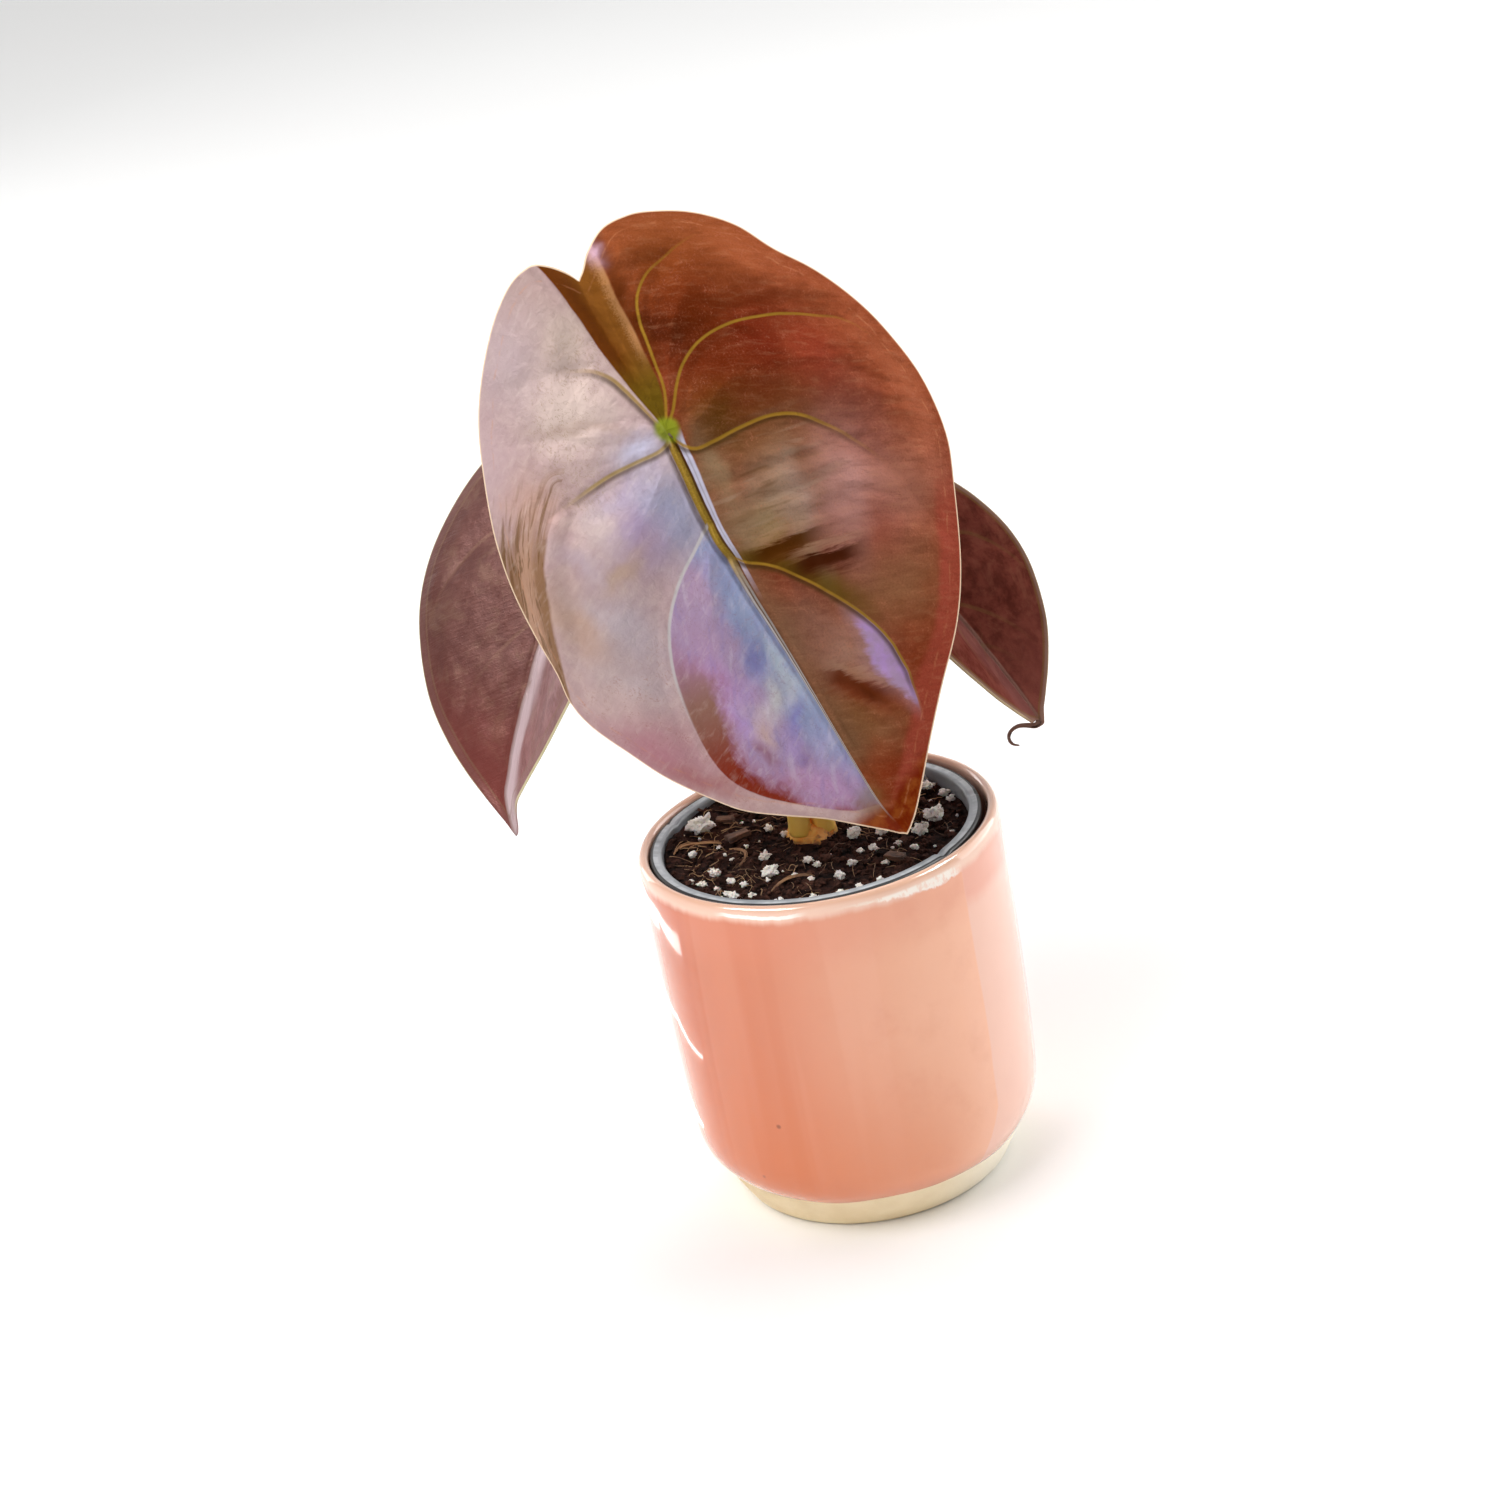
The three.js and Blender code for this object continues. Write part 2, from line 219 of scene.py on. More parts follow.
class Shade:
    # a material, and the ways to add nodes to it
    def __init__(self, name):
        self.material = bpy.data.materials.new(name)
        self.material.use_nodes = True
        self.tree = self.material.node_tree
        self.tree.nodes.clear()

    def node(self, kind, settings, values, out=0):
        made = self.tree.nodes.new("ShaderNode" + kind)
        for key, value in settings.items():
            setattr(made, key, value)
        for key, value in values.items():
            if isinstance(value, Wire):
                self.tree.links.new(value.socket, made.inputs[key])
            else:
                made.inputs[key].default_value = value
        return Wire(self, made.outputs[out]) if made.outputs else None

    def mix(self, factor, a, b):
        return self.node("Mix", {"data_type": "RGBA"}, {0: factor, 6: a, 7: b}, out=2)

    def place(self):
        return self.node("TexCoord", {}, {}, out="Object")

    def apart(self, vector):
        made = self.node("SeparateXYZ", {}, {0: vector}).socket.node
        return [Wire(self, made.outputs[k]) for k in range(3)]

    def join(self, x, y, z=0.0):
        return self.node("CombineXYZ", {}, {0: x, 1: y, 2: z})

    def noise(self, vector, scale, detail=3.0, rough=0.55, bend=0.0):
        values = {"Vector": vector, "Scale": scale, "Detail": detail, "Roughness": rough, "Distortion": bend}
        return self.node("TexNoise", {}, values)

    def cells(self, vector, scale, feature="F1", uneven=1.0):
        values = {"Vector": vector, "Scale": scale, "Randomness": uneven}
        return self.node("TexVoronoi", {"feature": feature}, values, out="Distance")

    def length(self, vector):
        return self.node("VectorMath", {"operation": "LENGTH"}, {0: vector}, out="Value")

    def attribute(self, name):
        return self.node("Attribute", {"attribute_name": name}, {}, out="Fac")

    def bump(self, height, strength, distance):
        return self.node("Bump", {}, {"Height": height, "Strength": strength, "Distance": distance})

    def finish(self, **values):
        # underscores in a name stand for the spaces of the shader's own sockets
        named = {key.replace("_", " "): value for key, value in values.items()}
        skin = self.node("BsdfPrincipled", {}, named)
        self.node("OutputMaterial", {}, {0: skin})
        return self.material


def rise(low, high, value):
    # 0 below low, 1 above high, soft between, and the other way round if high is the lower
    ends = {1: low, 2: high, 3: 0.0, 4: 1.0} if low < high else {1: high, 2: low, 3: 1.0, 4: 0.0}
    return value.shade.node("MapRange", {"interpolation_type": "SMOOTHSTEP"}, {0: value, **ends})


def window(value, *ends):
    # comes in between the first two and goes out between the last two
    return rise(*ends[:2], value) * rise(*ends[2:], value)


# camera, light and floor

camera = {
    "target": (0, 0, 60), "distance": 650, "above": 25.5637, "yaw": -0.9635, "pitch": 22.984, "roll": -10.88,
    "lens": 80.2, "sensor": 36, "nearest": 0.01, "furthest": 20,
}


def makeCamera(kit):
    above = math.radians(kit["above"])
    spot = Vector(kit["target"]) + kit["distance"] * Vector((0, -math.cos(above), math.sin(above)))
    yaw, pitch, roll = (math.radians(kit[k]) for k in ("yaw", "pitch", "roll"))
    ahead = Vector((math.sin(yaw) * math.cos(pitch), math.cos(yaw) * math.cos(pitch), -math.sin(pitch)))
    right = Vector((math.cos(yaw), -math.sin(yaw), 0))
    up = right.cross(ahead)
    across = math.cos(roll) * right + math.sin(roll) * up
    upward = math.cos(roll) * up - math.sin(roll) * right
    data = bpy.data.cameras.new("photoCamera")
    data.lens, data.sensor_width = kit["lens"], kit["sensor"]
    data.clip_start, data.clip_end = kit["nearest"], kit["furthest"]
    rig = bpy.data.objects.new("photoCamera", data)
    turn = Matrix((across, upward, -ahead)).transposed()
    rig.matrix_world = Matrix.Translation(spot * mm) @ turn.to_4x4()
    scene.collection.objects.link(rig)
    scene.camera = rig


studio = {
    "skyLight": 0.96, "aim": (0, 0, 0.11), "stripHeight": 2.0,
    # darker parts of the sky: azimuth, height, depth, and the radius inside and outside their soft edge
    "flags": [(58, 28, 0.94, 34, 62), (-92, 24, 0.8, 18, 40)],
    "lamps": [
        {"name": "window", "azimuth": -58, "height": 54, "distance": 1.4, "size": (1.0, 0.55), "radiance": 6.2},
        {"name": "glintLeft", "azimuth": -58, "height": 50, "distance": 1.3, "size": (0.9, 0.45), "radiance": 16.0,
            "glossOnly": True},
        {"name": "glintRight", "azimuth": 90, "height": 45, "distance": 1.3, "size": (0.55, 0.4), "radiance": 26.0,
            "glossOnly": True},
        {"name": "panelRight", "azimuth": 110, "height": 8, "distance": 1.2, "size": (1.0, 1.1), "radiance": 3.6},
        {"name": "backSoft", "azimuth": 178, "height": 66, "distance": 1.3, "size": (0.6, 0.5), "radiance": 4.8},
        {"name": "panelLeft", "azimuth": -140, "height": 8, "distance": 1.2, "size": (0.3, 1.0), "radiance": 3.0},
    ],
    # strips of light on the floor that only the gloss sees: from, to and width in mm
    "strips": [
        {"name": "stripFar", "from": (-68, 152), "to": (-124, 92), "width": 22, "radiance": 2.0},
        {"name": "stripNear", "from": (-126, 94), "to": (-142, 34), "width": 12, "radiance": 4.6},
        {"name": "threadFar", "from": (-54, 88), "to": (-81, 53), "width": 3.0, "radiance": 3.5},
        {"name": "threadNear", "from": (-81, 53), "to": (-88, 12), "width": 2.2, "radiance": 7.0},
        {"name": "threadLow", "from": (-43.5, 37), "to": (-49, 13), "width": 2.2, "radiance": 5.0},
    ],
}


def heading(azimuth, height):
    # azimuth 0 is the camera's side, and it grows to the right
    a, h = math.radians(azimuth), math.radians(height)
    return Vector((math.sin(a) * math.cos(h), -math.cos(a) * math.cos(h), math.sin(h)))


def hangLamp(kit, wide, tall, place, glossOnly):
    data = bpy.data.lights.new(kit["name"], "AREA")
    data.shape, data.size, data.size_y = "RECTANGLE", wide, tall
    data.energy = kit["radiance"] * math.pi * wide * tall
    rig = bpy.data.objects.new(kit["name"], data)
    rig.matrix_world = place
    rig.visible_camera, rig.visible_diffuse = False, not glossOnly
    scene.collection.objects.link(rig)


def makeLights(kit):
    for lamp in kit["lamps"]:
        away = heading(lamp["azimuth"], lamp["height"])
        spot = Matrix.Translation(Vector(kit["aim"]) + away * lamp["distance"])
        turn = away.to_track_quat("Z", "Y").to_matrix().to_4x4()
        hangLamp(lamp, *lamp["size"], spot @ turn, lamp.get("glossOnly", False))
    for strip in kit["strips"]:
        start, end = (Vector((*strip[key], kit["stripHeight"])) * mm for key in ("from", "to"))
        along = (end - start).normalized()
        turn = Matrix((along, Vector((along.y, -along.x, 0)), Vector((0, 0, -1)))).transposed()
        spot = Matrix.Translation((start + end) / 2)
        hangLamp(strip, (end - start).length, strip["width"] * mm, spot @ turn.to_4x4(), True)
    world = bpy.data.worlds.new("studioSky")
    world.use_nodes = True
    world.node_tree.nodes.clear()
    sky = Shade.__new__(Shade)
    sky.tree = world.node_tree
    toward = sky.node("TexCoord", {}, {}, out="Generated")
    level = kit["skyLight"]
    for azimuth, height, depth, inner, outer in kit["flags"]:
        values = {0: toward, 1: heading(azimuth, height)}
        close = sky.node("VectorMath", {"operation": "DOT_PRODUCT"}, values, out="Value")
        level = level * (1 - depth * rise(math.cos(math.radians(outer)), math.cos(math.radians(inner)), close))
    seen = sky.node("LightPath", {}, {}, out="Is Camera Ray")
    strength = level + seen * (1 - level)
    back = sky.node("Background", {}, {0: (1, 1, 1, 1), 1: strength})
    sky.node("OutputWorld", {}, {0: back})
    scene.world = world


def makeFloor():
    shade = Shade("floorPaper")
    spot = shade.place()
    cloud = shade.noise(spot, 3, 1)
    colour = shade.mix(cloud, tint(247, 246, 245), tint(252, 252, 251))
    material = shade.finish(Base_Color=colour, Roughness=0.8)
    build = bmesh.new()
    bmesh.ops.create_grid(build, x_segments=24, y_segments=24, size=4)
    meshPiece("floorSheet", build, body=None, materials=[material])


scene.view_settings.view_transform = "Standard"
scene.view_settings.look = "None"
makeCamera(camera)
makeLights(studio)
makeFloor()
print("camera, lights and floor are in place")


# cover pot

coverPot = {
    "steps": 240, "glazeLine": 8.0, "glazeStep": 0.28,
    "outside": [
        (0, 0), (12, 0), (22, 0), (25.6, 0), (26.3, 0.25), (27.0, 0.9), (28.4, 3.4), (29.6, 5.7), (30.4, 7.3),
        (30.6, 7.75),
    ],
    "glazed": [
        (31.0, 8.1), (31.35, 8.5), (31.9, 9.1), (32.8, 10.5), (33.5, 12), (34.1, 14), (34.5, 16.5), (34.75, 20),
        (35.0, 27), (35.2, 34), (35.35, 43), (35.45, 52), (35.5, 60), (35.5, 66), (35.48, 69.5), (35.4, 71.2),
        (35.22, 72.4), (34.9, 73.3), (34.45, 73.85), (33.9, 74), (33.4, 73.8), (33.12, 73.2), (33.02, 72), (32.97, 68),
        (32.93, 60), (32.87, 50), (32.7, 38), (32.5, 24), (32.2, 17), (31, 11.6), (29.6, 9.4), (28, 8.1), (26, 7.5),
        (18, 7.5), (9, 7.5), (0, 7.5),
    ],
}


def glazeEdge(angle, sine):
    # the glaze stops a little higher or lower round the foot
    return 0.22 * sine(angle * 2 + 0.6) + 0.14 * sine(angle * 5 + 2.1) + 0.08 * sine(angle * 11)


def coverPotFinish(kit):
    shade = Shade("pinkGlaze")
    spot = shade.place()
    x, y, z = shade.apart(spot)
    angle = shade.node("Math", {"operation": "ARCTAN2"}, {0: y, 1: x})
    ringX, ringY = angle.maths("COSINE", angle), angle.sine()

    def onRing(size, up, detail, rough):
        return shade.noise(shade.join(ringX * size, ringY * size, z * up), 1.0, detail, rough)

    level = z * 1000 - glazeEdge(angle, Wire.sine)
    glazed = rise(kit["glazeLine"] - 0.25, kit["glazeLine"] + 0.12, level)
    drips = onRing(3.6, 4, 2, 0.4)
    broad = shade.noise(shade.join(ringX, ringY, z * 6), 1.3, 2, 0.5)
    cloud = shade.noise(spot, 130, 4, 0.6)
    side = angle + math.pi / 2      # 0 faces the camera and it grows to the right
    # glaze colour, darker orange towards the left as painted shade and paler pink towards the right as painted light
    body = shade.mix(rise(-0.9, 0.8, ringX), tint(192, 92, 50), tint(252, 198, 168))
    body.coat(rise(0.3, 0.7, broad) * 0.25, 234, 152, 116)
    body.coat(rise(0.42, 0.50, drips) * 0.1, 238, 170, 140)
    body.coat(rise(0.55, 0.61, drips) * 0.12, 240, 180, 156)
    body.coat(rise(0.45, 0.8, cloud) * 0.15, 212, 128, 100)
    run = (onRing(1, 40, 2, 0.5) - 0.5) * 0.05
    ragged = (onRing(9, 60, 3, 0.6) - 0.5) * 1.8
    # painted shade: darker warm orange low down except on the right, and a stronger orange at the far left below the
    # neck
    body.coat(rise(50, 12, level) * rise(0.85, 0.2, ringX) * 0.5, 216, 120, 70)
    body.coat(rise(-0.72, -0.97, ringX) * rise(68, 50, level) * 0.4, 222, 118, 68)
    body.coat(rise(58, 69, level) * 0.32, 226, 138, 112)
    # painted reflection: a paler pink upright band on the right side, pinker at its top towards the neck
    band = rise(0.775, 0.795, side + run + (20 - level).most(0) * 0.012) * rise(1.9, 1.6, side)
    body.coat(band * 0.75, 240, 194, 177)
    body.coat(band * rise(62, 66, level + ragged) * 0.6, 234, 156, 132)
    body.coat(rise(12.5, 8.4, level) * 0.45, 204, 120, 92)
    body.coat(rise(70.4, 72.2, level + ragged) * 0.8, 248, 214, 194)
    body.coat(rise(72.9, 73.6, level) * 0.7, 232, 180, 150)
    # painted highlights under the lip: a ragged one at the front right and a thin one at the front left
    highlightFlecks = shade.noise(shade.join(angle * 30, z * 380), 1.0, 3, 0.65)
    front = window(side, -0.05, 0.35, 0.8, 0.72) * (0.4 + 0.55 * rise(0.4, 0.52, highlightFlecks))
    low = 71.8 - 1.2 * rise(0.2, 0.65, side) + (highlightFlecks - 0.5) * 1.6
    body.coat(front * rise(-0.1, 0.35, level + ragged - low) * rise(72.9, 72.3, level), 255, 243, 232)
    front = window(side, -0.68, -0.56, -0.12, -0.24)
    body.coat(front * window(level + ragged * 0.6, 71.8, 72.05, 72.75, 72.5), 255, 248, 240)
    pits = shade.cells(spot, 62.0)
    pit = rise(0.045, 0.02, pits)
    body.coat(pit * 0.7, 120, 66, 50)
    grit = shade.noise(spot, 2600, 3, 0.7)
    patchy = shade.noise(spot, 90, 4, 0.6)
    clay = shade.mix(rise(0.3, 0.7, patchy), tint(229, 208, 170), tint(241, 224, 190))
    # painted light: the bare clay foot is paler towards the right
    clay.coat(rise(0.2, 0.9, ringX) * 0.9, 255, 250, 234)
    clay.coat(rise(0.62, 0.8, grit) * 0.35, 176, 142, 104)
    colour = shade.mix(glazed, clay, body)
    height = glazed * (onRing(4, 16, 2, 0.5) * 0.55 - pit * 0.5) + (1 - glazed) * grit * 0.3
    return shade.finish(
        Base_Color=colour,
        Roughness=0.82 - glazed * 0.70 + cloud * 0.03,
        Specular_IOR_Level=0.1,
        Coat_Weight=glazed,
        Coat_Roughness=0.05, Coat_IOR=1.45,
        Normal=shade.bump(height, 0.35, 0.0007))


def makeCoverPot(kit):
    build = bmesh.new()
    spinProfile(build, kit["outside"] + kit["glazed"], kit["steps"])
    for v in build.verts:
        r, z = math.hypot(v.co.x, v.co.y) / mm, v.co.z / mm
        angle = math.atan2(v.co.y, v.co.x)
        if r > 30.9 and z > 7.9:
            even = fadeIn(8, 9, z) * fadeIn(74.2, 60, z)
            swell = 0.06 * soft(math.cos(angle) * 2, math.sin(angle) * 2, z * 0.03)
            grow = 1 - (0.05 - swell) * float(even) / r
            v.co.x, v.co.y = v.co.x * grow, v.co.y * grow
        if r > 29.5 and 5 < z < 12:
            v.co.z += glazeEdge(angle, math.sin) * float(fadeIn(5, 7.5, z) * fadeIn(12.5, 9, z)) * mm
    piece = meshPiece("coverPot", build, materials=[coverPotFinish(kit)])
    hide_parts("cover_pot")


makeCoverPot(coverPot)
print("cover pot is thrown and glazed")


# nursery pot

nurseryPot = {
    "steps": 220, "shiftX": -0.45, "floorLow": 7.8, "floorTop": 8.7, "holes": 6, "holeRadius": 2.4, "holeRing": 16.5,
    "outer": [
        (23.4, 7.8), (23.9, 10), (25.4, 22), (26.9, 35), (28.4, 48.5), (29.6, 59), (30.5, 67.2), (31.0, 71.6),
        (31.15, 71.95), (31.7, 72.05), (32.15, 72.15), (32.35, 72.4), (32.4, 72.8), (32.3, 73.15), (32.0, 73.36),
        (31.5, 73.4), (31.05, 73.28), (30.75, 73.26), (30.4, 73.38), (30.15, 73.34), (29.95, 73.1), (29.85, 72.6),
        (29.6, 69), (28.6, 60), (27.4, 49), (25.9, 36), (24.4, 23), (22.9, 11), (22.5, 8.7),
    ],
    "nicks": [(-43.8, 2.4), (4.7, 2.0), (152, 2.2), (98, 1.6)], "nickDepth": 0.45, "unevenRim": 0.07,
}


def nurseryFinish(kit):
    shade = Shade("frostedPlastic")
    spot = shade.place()
    haze = shade.noise(spot, 260, 4, 0.6)
    cloud = shade.noise(spot, 60, 3, 0.5)
    x, y, z = shade.apart(spot)
    angle = shade.node("Math", {"operation": "ARCTAN2"}, {0: y, 1: x})
    rays = shade.noise(shade.join(angle * 12, z * 60, 0.0), 1.0, 2, 0.5)
    out = shade.length(shade.join(x * 1000 - kit["shiftX"], y * 1000))
    colour = shade.mix(rise(0.3, 0.72, cloud), tint(148, 154, 160), tint(182, 186, 190))
    colour.coat(rise(0.5, 0.75, haze) * 0.5, 112, 114, 116)
    colour.coat(rise(30.5, 31.0, out) * rise(0.3, 0.65, rays) * 0.6, 222, 227, 230)
    # painted shade on the inner edge of the rim, near its top
    colour.coat(rise(30.5, 30.1, out) * rise(71, 72.5, z * 1000) * 0.3, 84, 84, 86)
    # painted shade: the outer edge of the rim is near black and has no coat, standing in for the shaded gap between the
    # two pots
    outer = rise(31.62, 31.76, out)
    colour.coat(outer * 0.98, 8, 7, 7)
    return shade.finish(
        Base_Color=colour,
        Roughness=0.3 + haze * 0.2,
        Alpha=0.93 + cloud * 0.07,
        Transmission_Weight=0.1, IOR=1.45, Coat_Weight=0.3 - outer * 0.3, Coat_Roughness=0.2,
        Normal=shade.bump(haze * 0.5 + rays * 0.7, 0.25, 0.0004))


def makeNurseryPot(kit):
    build = bmesh.new()
    spinProfile(build, kit["outer"], kit["steps"])
    for height in (kit["floorLow"], kit["floorTop"]):
        ring = [e for e in build.edges if e.is_boundary and all(abs(v.co.z / mm - height) < 0.01 for v in e.verts)]
        holes = []
        for i in range(kit["holes"]):
            a = (i + 0.5) / kit["holes"] * math.tau
            x, y = math.cos(a) * kit["holeRing"], math.sin(a) * kit["holeRing"]
            spot = Matrix.Translation(Vector((x, y, height)) * mm)
            circle = bmesh.ops.create_circle(build, segments=32, radius=kit["holeRadius"] * mm, matrix=spot)["verts"]
            holes += list({e for v in circle for e in v.link_edges})
        bmesh.ops.triangle_fill(build, edges=ring + holes, use_beauty=True)
    bridgeHoles(build, [e for e in build.edges if e.is_boundary], kit)
    bmesh.ops.recalc_face_normals(build, faces=build.faces)
    for v in build.verts:
        r, z = math.hypot(v.co.x, v.co.y) / mm, v.co.z / mm
        angle = math.atan2(v.co.y, v.co.x)
        if z > 72.9 and r > 29.8:
            for at, wide in kit["nicks"]:
                off = (math.degrees(angle) - at + 180) % 360 - 180
                v.co.z -= kit["nickDepth"] * mm * math.exp(-(off / wide * 1.6) ** 2)
            v.co.z += kit["unevenRim"] * mm * soft(math.cos(angle) * 5, math.sin(angle) * 5, 0)
    bmesh.ops.translate(build, verts=build.verts, vec=(kit["shiftX"] * mm, 0, 0))
    piece = meshPiece("nurseryPot", build, materials=[nurseryFinish(kit)])
    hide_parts("nursery_pot")


def bridgeHoles(build, rims, kit):
    # walls of the drain holes, one pair of rings at a time
    for i in range(kit["holes"]):
        a = (i + 0.5) / kit["holes"] * math.tau
        spot = Vector((math.cos(a), math.sin(a))) * kit["holeRing"] * mm
        near = [e for e in rims if all(abs((v.co.xy - spot).length - kit["holeRadius"] * mm) < 1e-5 for v in e.verts)]
        bmesh.ops.bridge_loops(build, edges=near)


makeNurseryPot(nurseryPot)
print("nursery pot is moulded")


# potting mix and what lies on it

plantAt = (-1.3, 1.7)       # where the corm stands, in mm
mix = {
    "centreX": -0.45, "radius": 29.65, "edgeHeight": 70.5, "crown": 1.1, "bank": 1.2,
    "rings": 66, "steps": 220, "roots": 210, "rootPoints": 8, "wall": 28.8, "seed": 11,
    "side": [(28.4, 62), (27.0, 50), (25.6, 38), (24.1, 26), (22.6, 14), (21.9, 9.1), (12, 9.1), (0, 9.1)],
    "crumbs": {"count": 1700, "reach": 29.0, "sizes": (0.5, 0.7, 0.9, 1.1, 1.4), "sunk": (-0.05, 0.32), "gap": 4.6,
               "faces": 1, "jag": 0.7, "wide": (0.6, 1.2), "tall": (0.5, 1)},
    "clods": {"count": 230, "reach": 27.6, "between": (1.5, 3.0), "sunk": (-0.2, 0.12), "gap": 5.4,
              "faces": 2, "jag": 0.8, "wide": (0.6, 1), "tall": (0.45, 0.8)},
}
grains = {
    "seed": 5, "pits": 14,
    "large": [
        (-22.3, 12.6, 4.4), (22.6, -1.2, 3.6), (19.4, -6.4, 2.8), (-10.2, -13.4, 2.9), (6.6, -3.6, 2.6),
        (12.4, -4, 2.6), (-10.8, -6.2, 2.0), (-2.8, -11.2, 1.8), (-20.8, -8.4, 2.0), (22.8, 13.4, 2.2), (8.5, 17, 3.0),
        (-9, 20.5, 2.6), (16.2, 8.2, 2.2),
    ],
    "small": [
        (-1.2, -12.9, 1.4), (-6.3, 2.5, 1.5), (-17.8, -13, 1.5), (-15.5, -14.5, 1.3), (2.6, -19.1, 1.8),
        (-2.9, -18.7, 1.5), (23, 19, 1.9), (25.7, 10.4, 1.7), (26.6, 7, 1.5), (7.3, -10.5, 1.3), (9.8, -10.5, 1.6),
        (11.6, -16.6, 1.5), (-9.3, 6.1, 1.6), (21.8, 16.6, 1.5), (5.3, -15.1, 1.6), (17.5, -12.4, 1.4),
        (-24.6, 2.2, 1.5), (-14.2, 1.2, 1.1), (-19.4, 4.2, 1.2), (14.6, -9.6, 1.2), (-5.8, -15.6, 1.1),
    ],
    "strays": 40, "wallStrays": 30,
}


def mixHeight(x, y):
    r = math.hypot(x - mix["centreX"], y) / mix["radius"]
    bank = (mix["bank"] - 0.03 * x) * float(fadeIn(0.8, 0.98, r)) * (1 + 0.4 * soft(x * 0.12, y * 0.12, 5.0))
    return mix["edgeHeight"] + mix["crown"] * (1 - r * r) + bank


def lumpy(x, y):
    # how the peat stands up and sinks between its crumbs, in mm
    broad = soft(x * 0.13, y * 0.13, 3.1)
    clods = soft(x * 0.42, y * 0.42, 7.7)
    fine = soft(x * 1.15, y * 1.15, 1.3)
    return 0.55 * broad + 0.62 * clods - 0.42 * abs(fine) - 0.25


def peatFinish(name, dark, light, rust):
    shade = Shade(name)
    spot = shade.place()
    lumps = shade.noise(spot, 420, 5, 0.65)
    fine = shade.noise(spot, 2200, 4, 0.7)
    broad = shade.noise(spot, 90, 3, 0.5)
    colour = shade.mix(rise(0.32, 0.72, lumps), dark, light)
    colour.coat(rise(0.55, 0.75, broad) * 0.5, rust)
    colour.coat(rise(0.6, 0.78, fine) * 0.6, 110, 76, 60)
    return shade.finish(
        Base_Color=colour,
        Roughness=0.98 - fine * 0.25,
        Specular_IOR_Level=0.05,
        Normal=shade.bump(lumps + fine * 0.5, 0.9, 0.0006))


def roughBall(build, spot, size, faces, jag, squash=(1, 1, 1), pits=0):
    # one broken lump: a ball of few faces pushed in and out, with rounded pits if it has popped bubbles
    part = bmesh.new()
    bmesh.ops.create_icosphere(part, subdivisions=faces, radius=size / 2 * mm)
    seed = Vector([random.uniform(-50, 50) for _ in range(3)])
    angle = random.uniform(0, math.tau)
    turn = Matrix.Rotation(angle, 3, Vector([random.gauss(0, 1) for _ in range(3)]).normalized())
    for v in part.verts:
        unit = v.co.normalized()
        v.co *= 1 + jag * noise.noise(unit * 1.7 + seed) + jag * 0.5 * noise.noise(unit * 4.3 + seed)
        v.co = turn @ v.co
        v.co = Vector((v.co.x * squash[0], v.co.y * squash[1], v.co.z * squash[2]))
    for _ in range(pits):
        way = Vector((random.gauss(0, 1), random.gauss(0, 1), abs(random.gauss(0.4, 0.8)))).normalized()
        pit, wide = way * size * 0.5 * mm, size * random.uniform(0.1, 0.2) * mm
        for v in part.verts:
            near = (v.co - pit).length / wide
            if near < 1.6:
                v.co -= way * wide * 0.75 * math.exp(-(near * 1.3) ** 2)
    bmesh.ops.translate(part, verts=part.verts, vec=Vector(spot) * mm)
    addPart(build, part)


def thinRod(build, line, radius, sides=5, taper=0.4):
    # a closed thread along the points, in mm
    line = np.array(line, float)
    steps = len(line) - 1
    ways = np.gradient(line, axis=0)
    ways /= np.linalg.norm(ways, axis=1)[:, None]
    side = np.cross(ways, [0.13, 0.21, 0.97])
    side /= np.linalg.norm(side, axis=1)[:, None]
    over = np.cross(side, ways)

    def place(turn, part):
        i = min(max(round(part * (steps + 2)) - 1, 0), steps)
        size = 0 if part < 1e-6 or part > 1 - 1e-6 else radius * (1 - taper * i / steps)
        a = turn * math.tau
        return line[i] + (side[i] * math.cos(a) + over[i] * math.sin(a)) * size

    wrapGrid(build, sides, steps + 2, place)


def onMix(limit):
    r, a = limit * math.sqrt(random.random()), random.uniform(0, math.tau)
    return mix["centreX"] + r * math.cos(a), r * math.sin(a)


def fromPlant(x, y):
    return math.hypot(x - plantAt[0], y - plantAt[1])


def bowed(x, y, turn, length, bow, slip, count):
    # points along a bent thread that lies flat, each with its place on the arch, 0 at the ends and 1 in the middle
    for i in range(count):
        part = i / (count - 1) - 0.5
        arch = 1 - 4 * part * part
        ahead, aside = part * length, bow * arch + slip
        px = x + math.cos(turn) * ahead - math.sin(turn) * aside
        py = y + math.sin(turn) * ahead + math.cos(turn) * aside
        yield px, py, arch


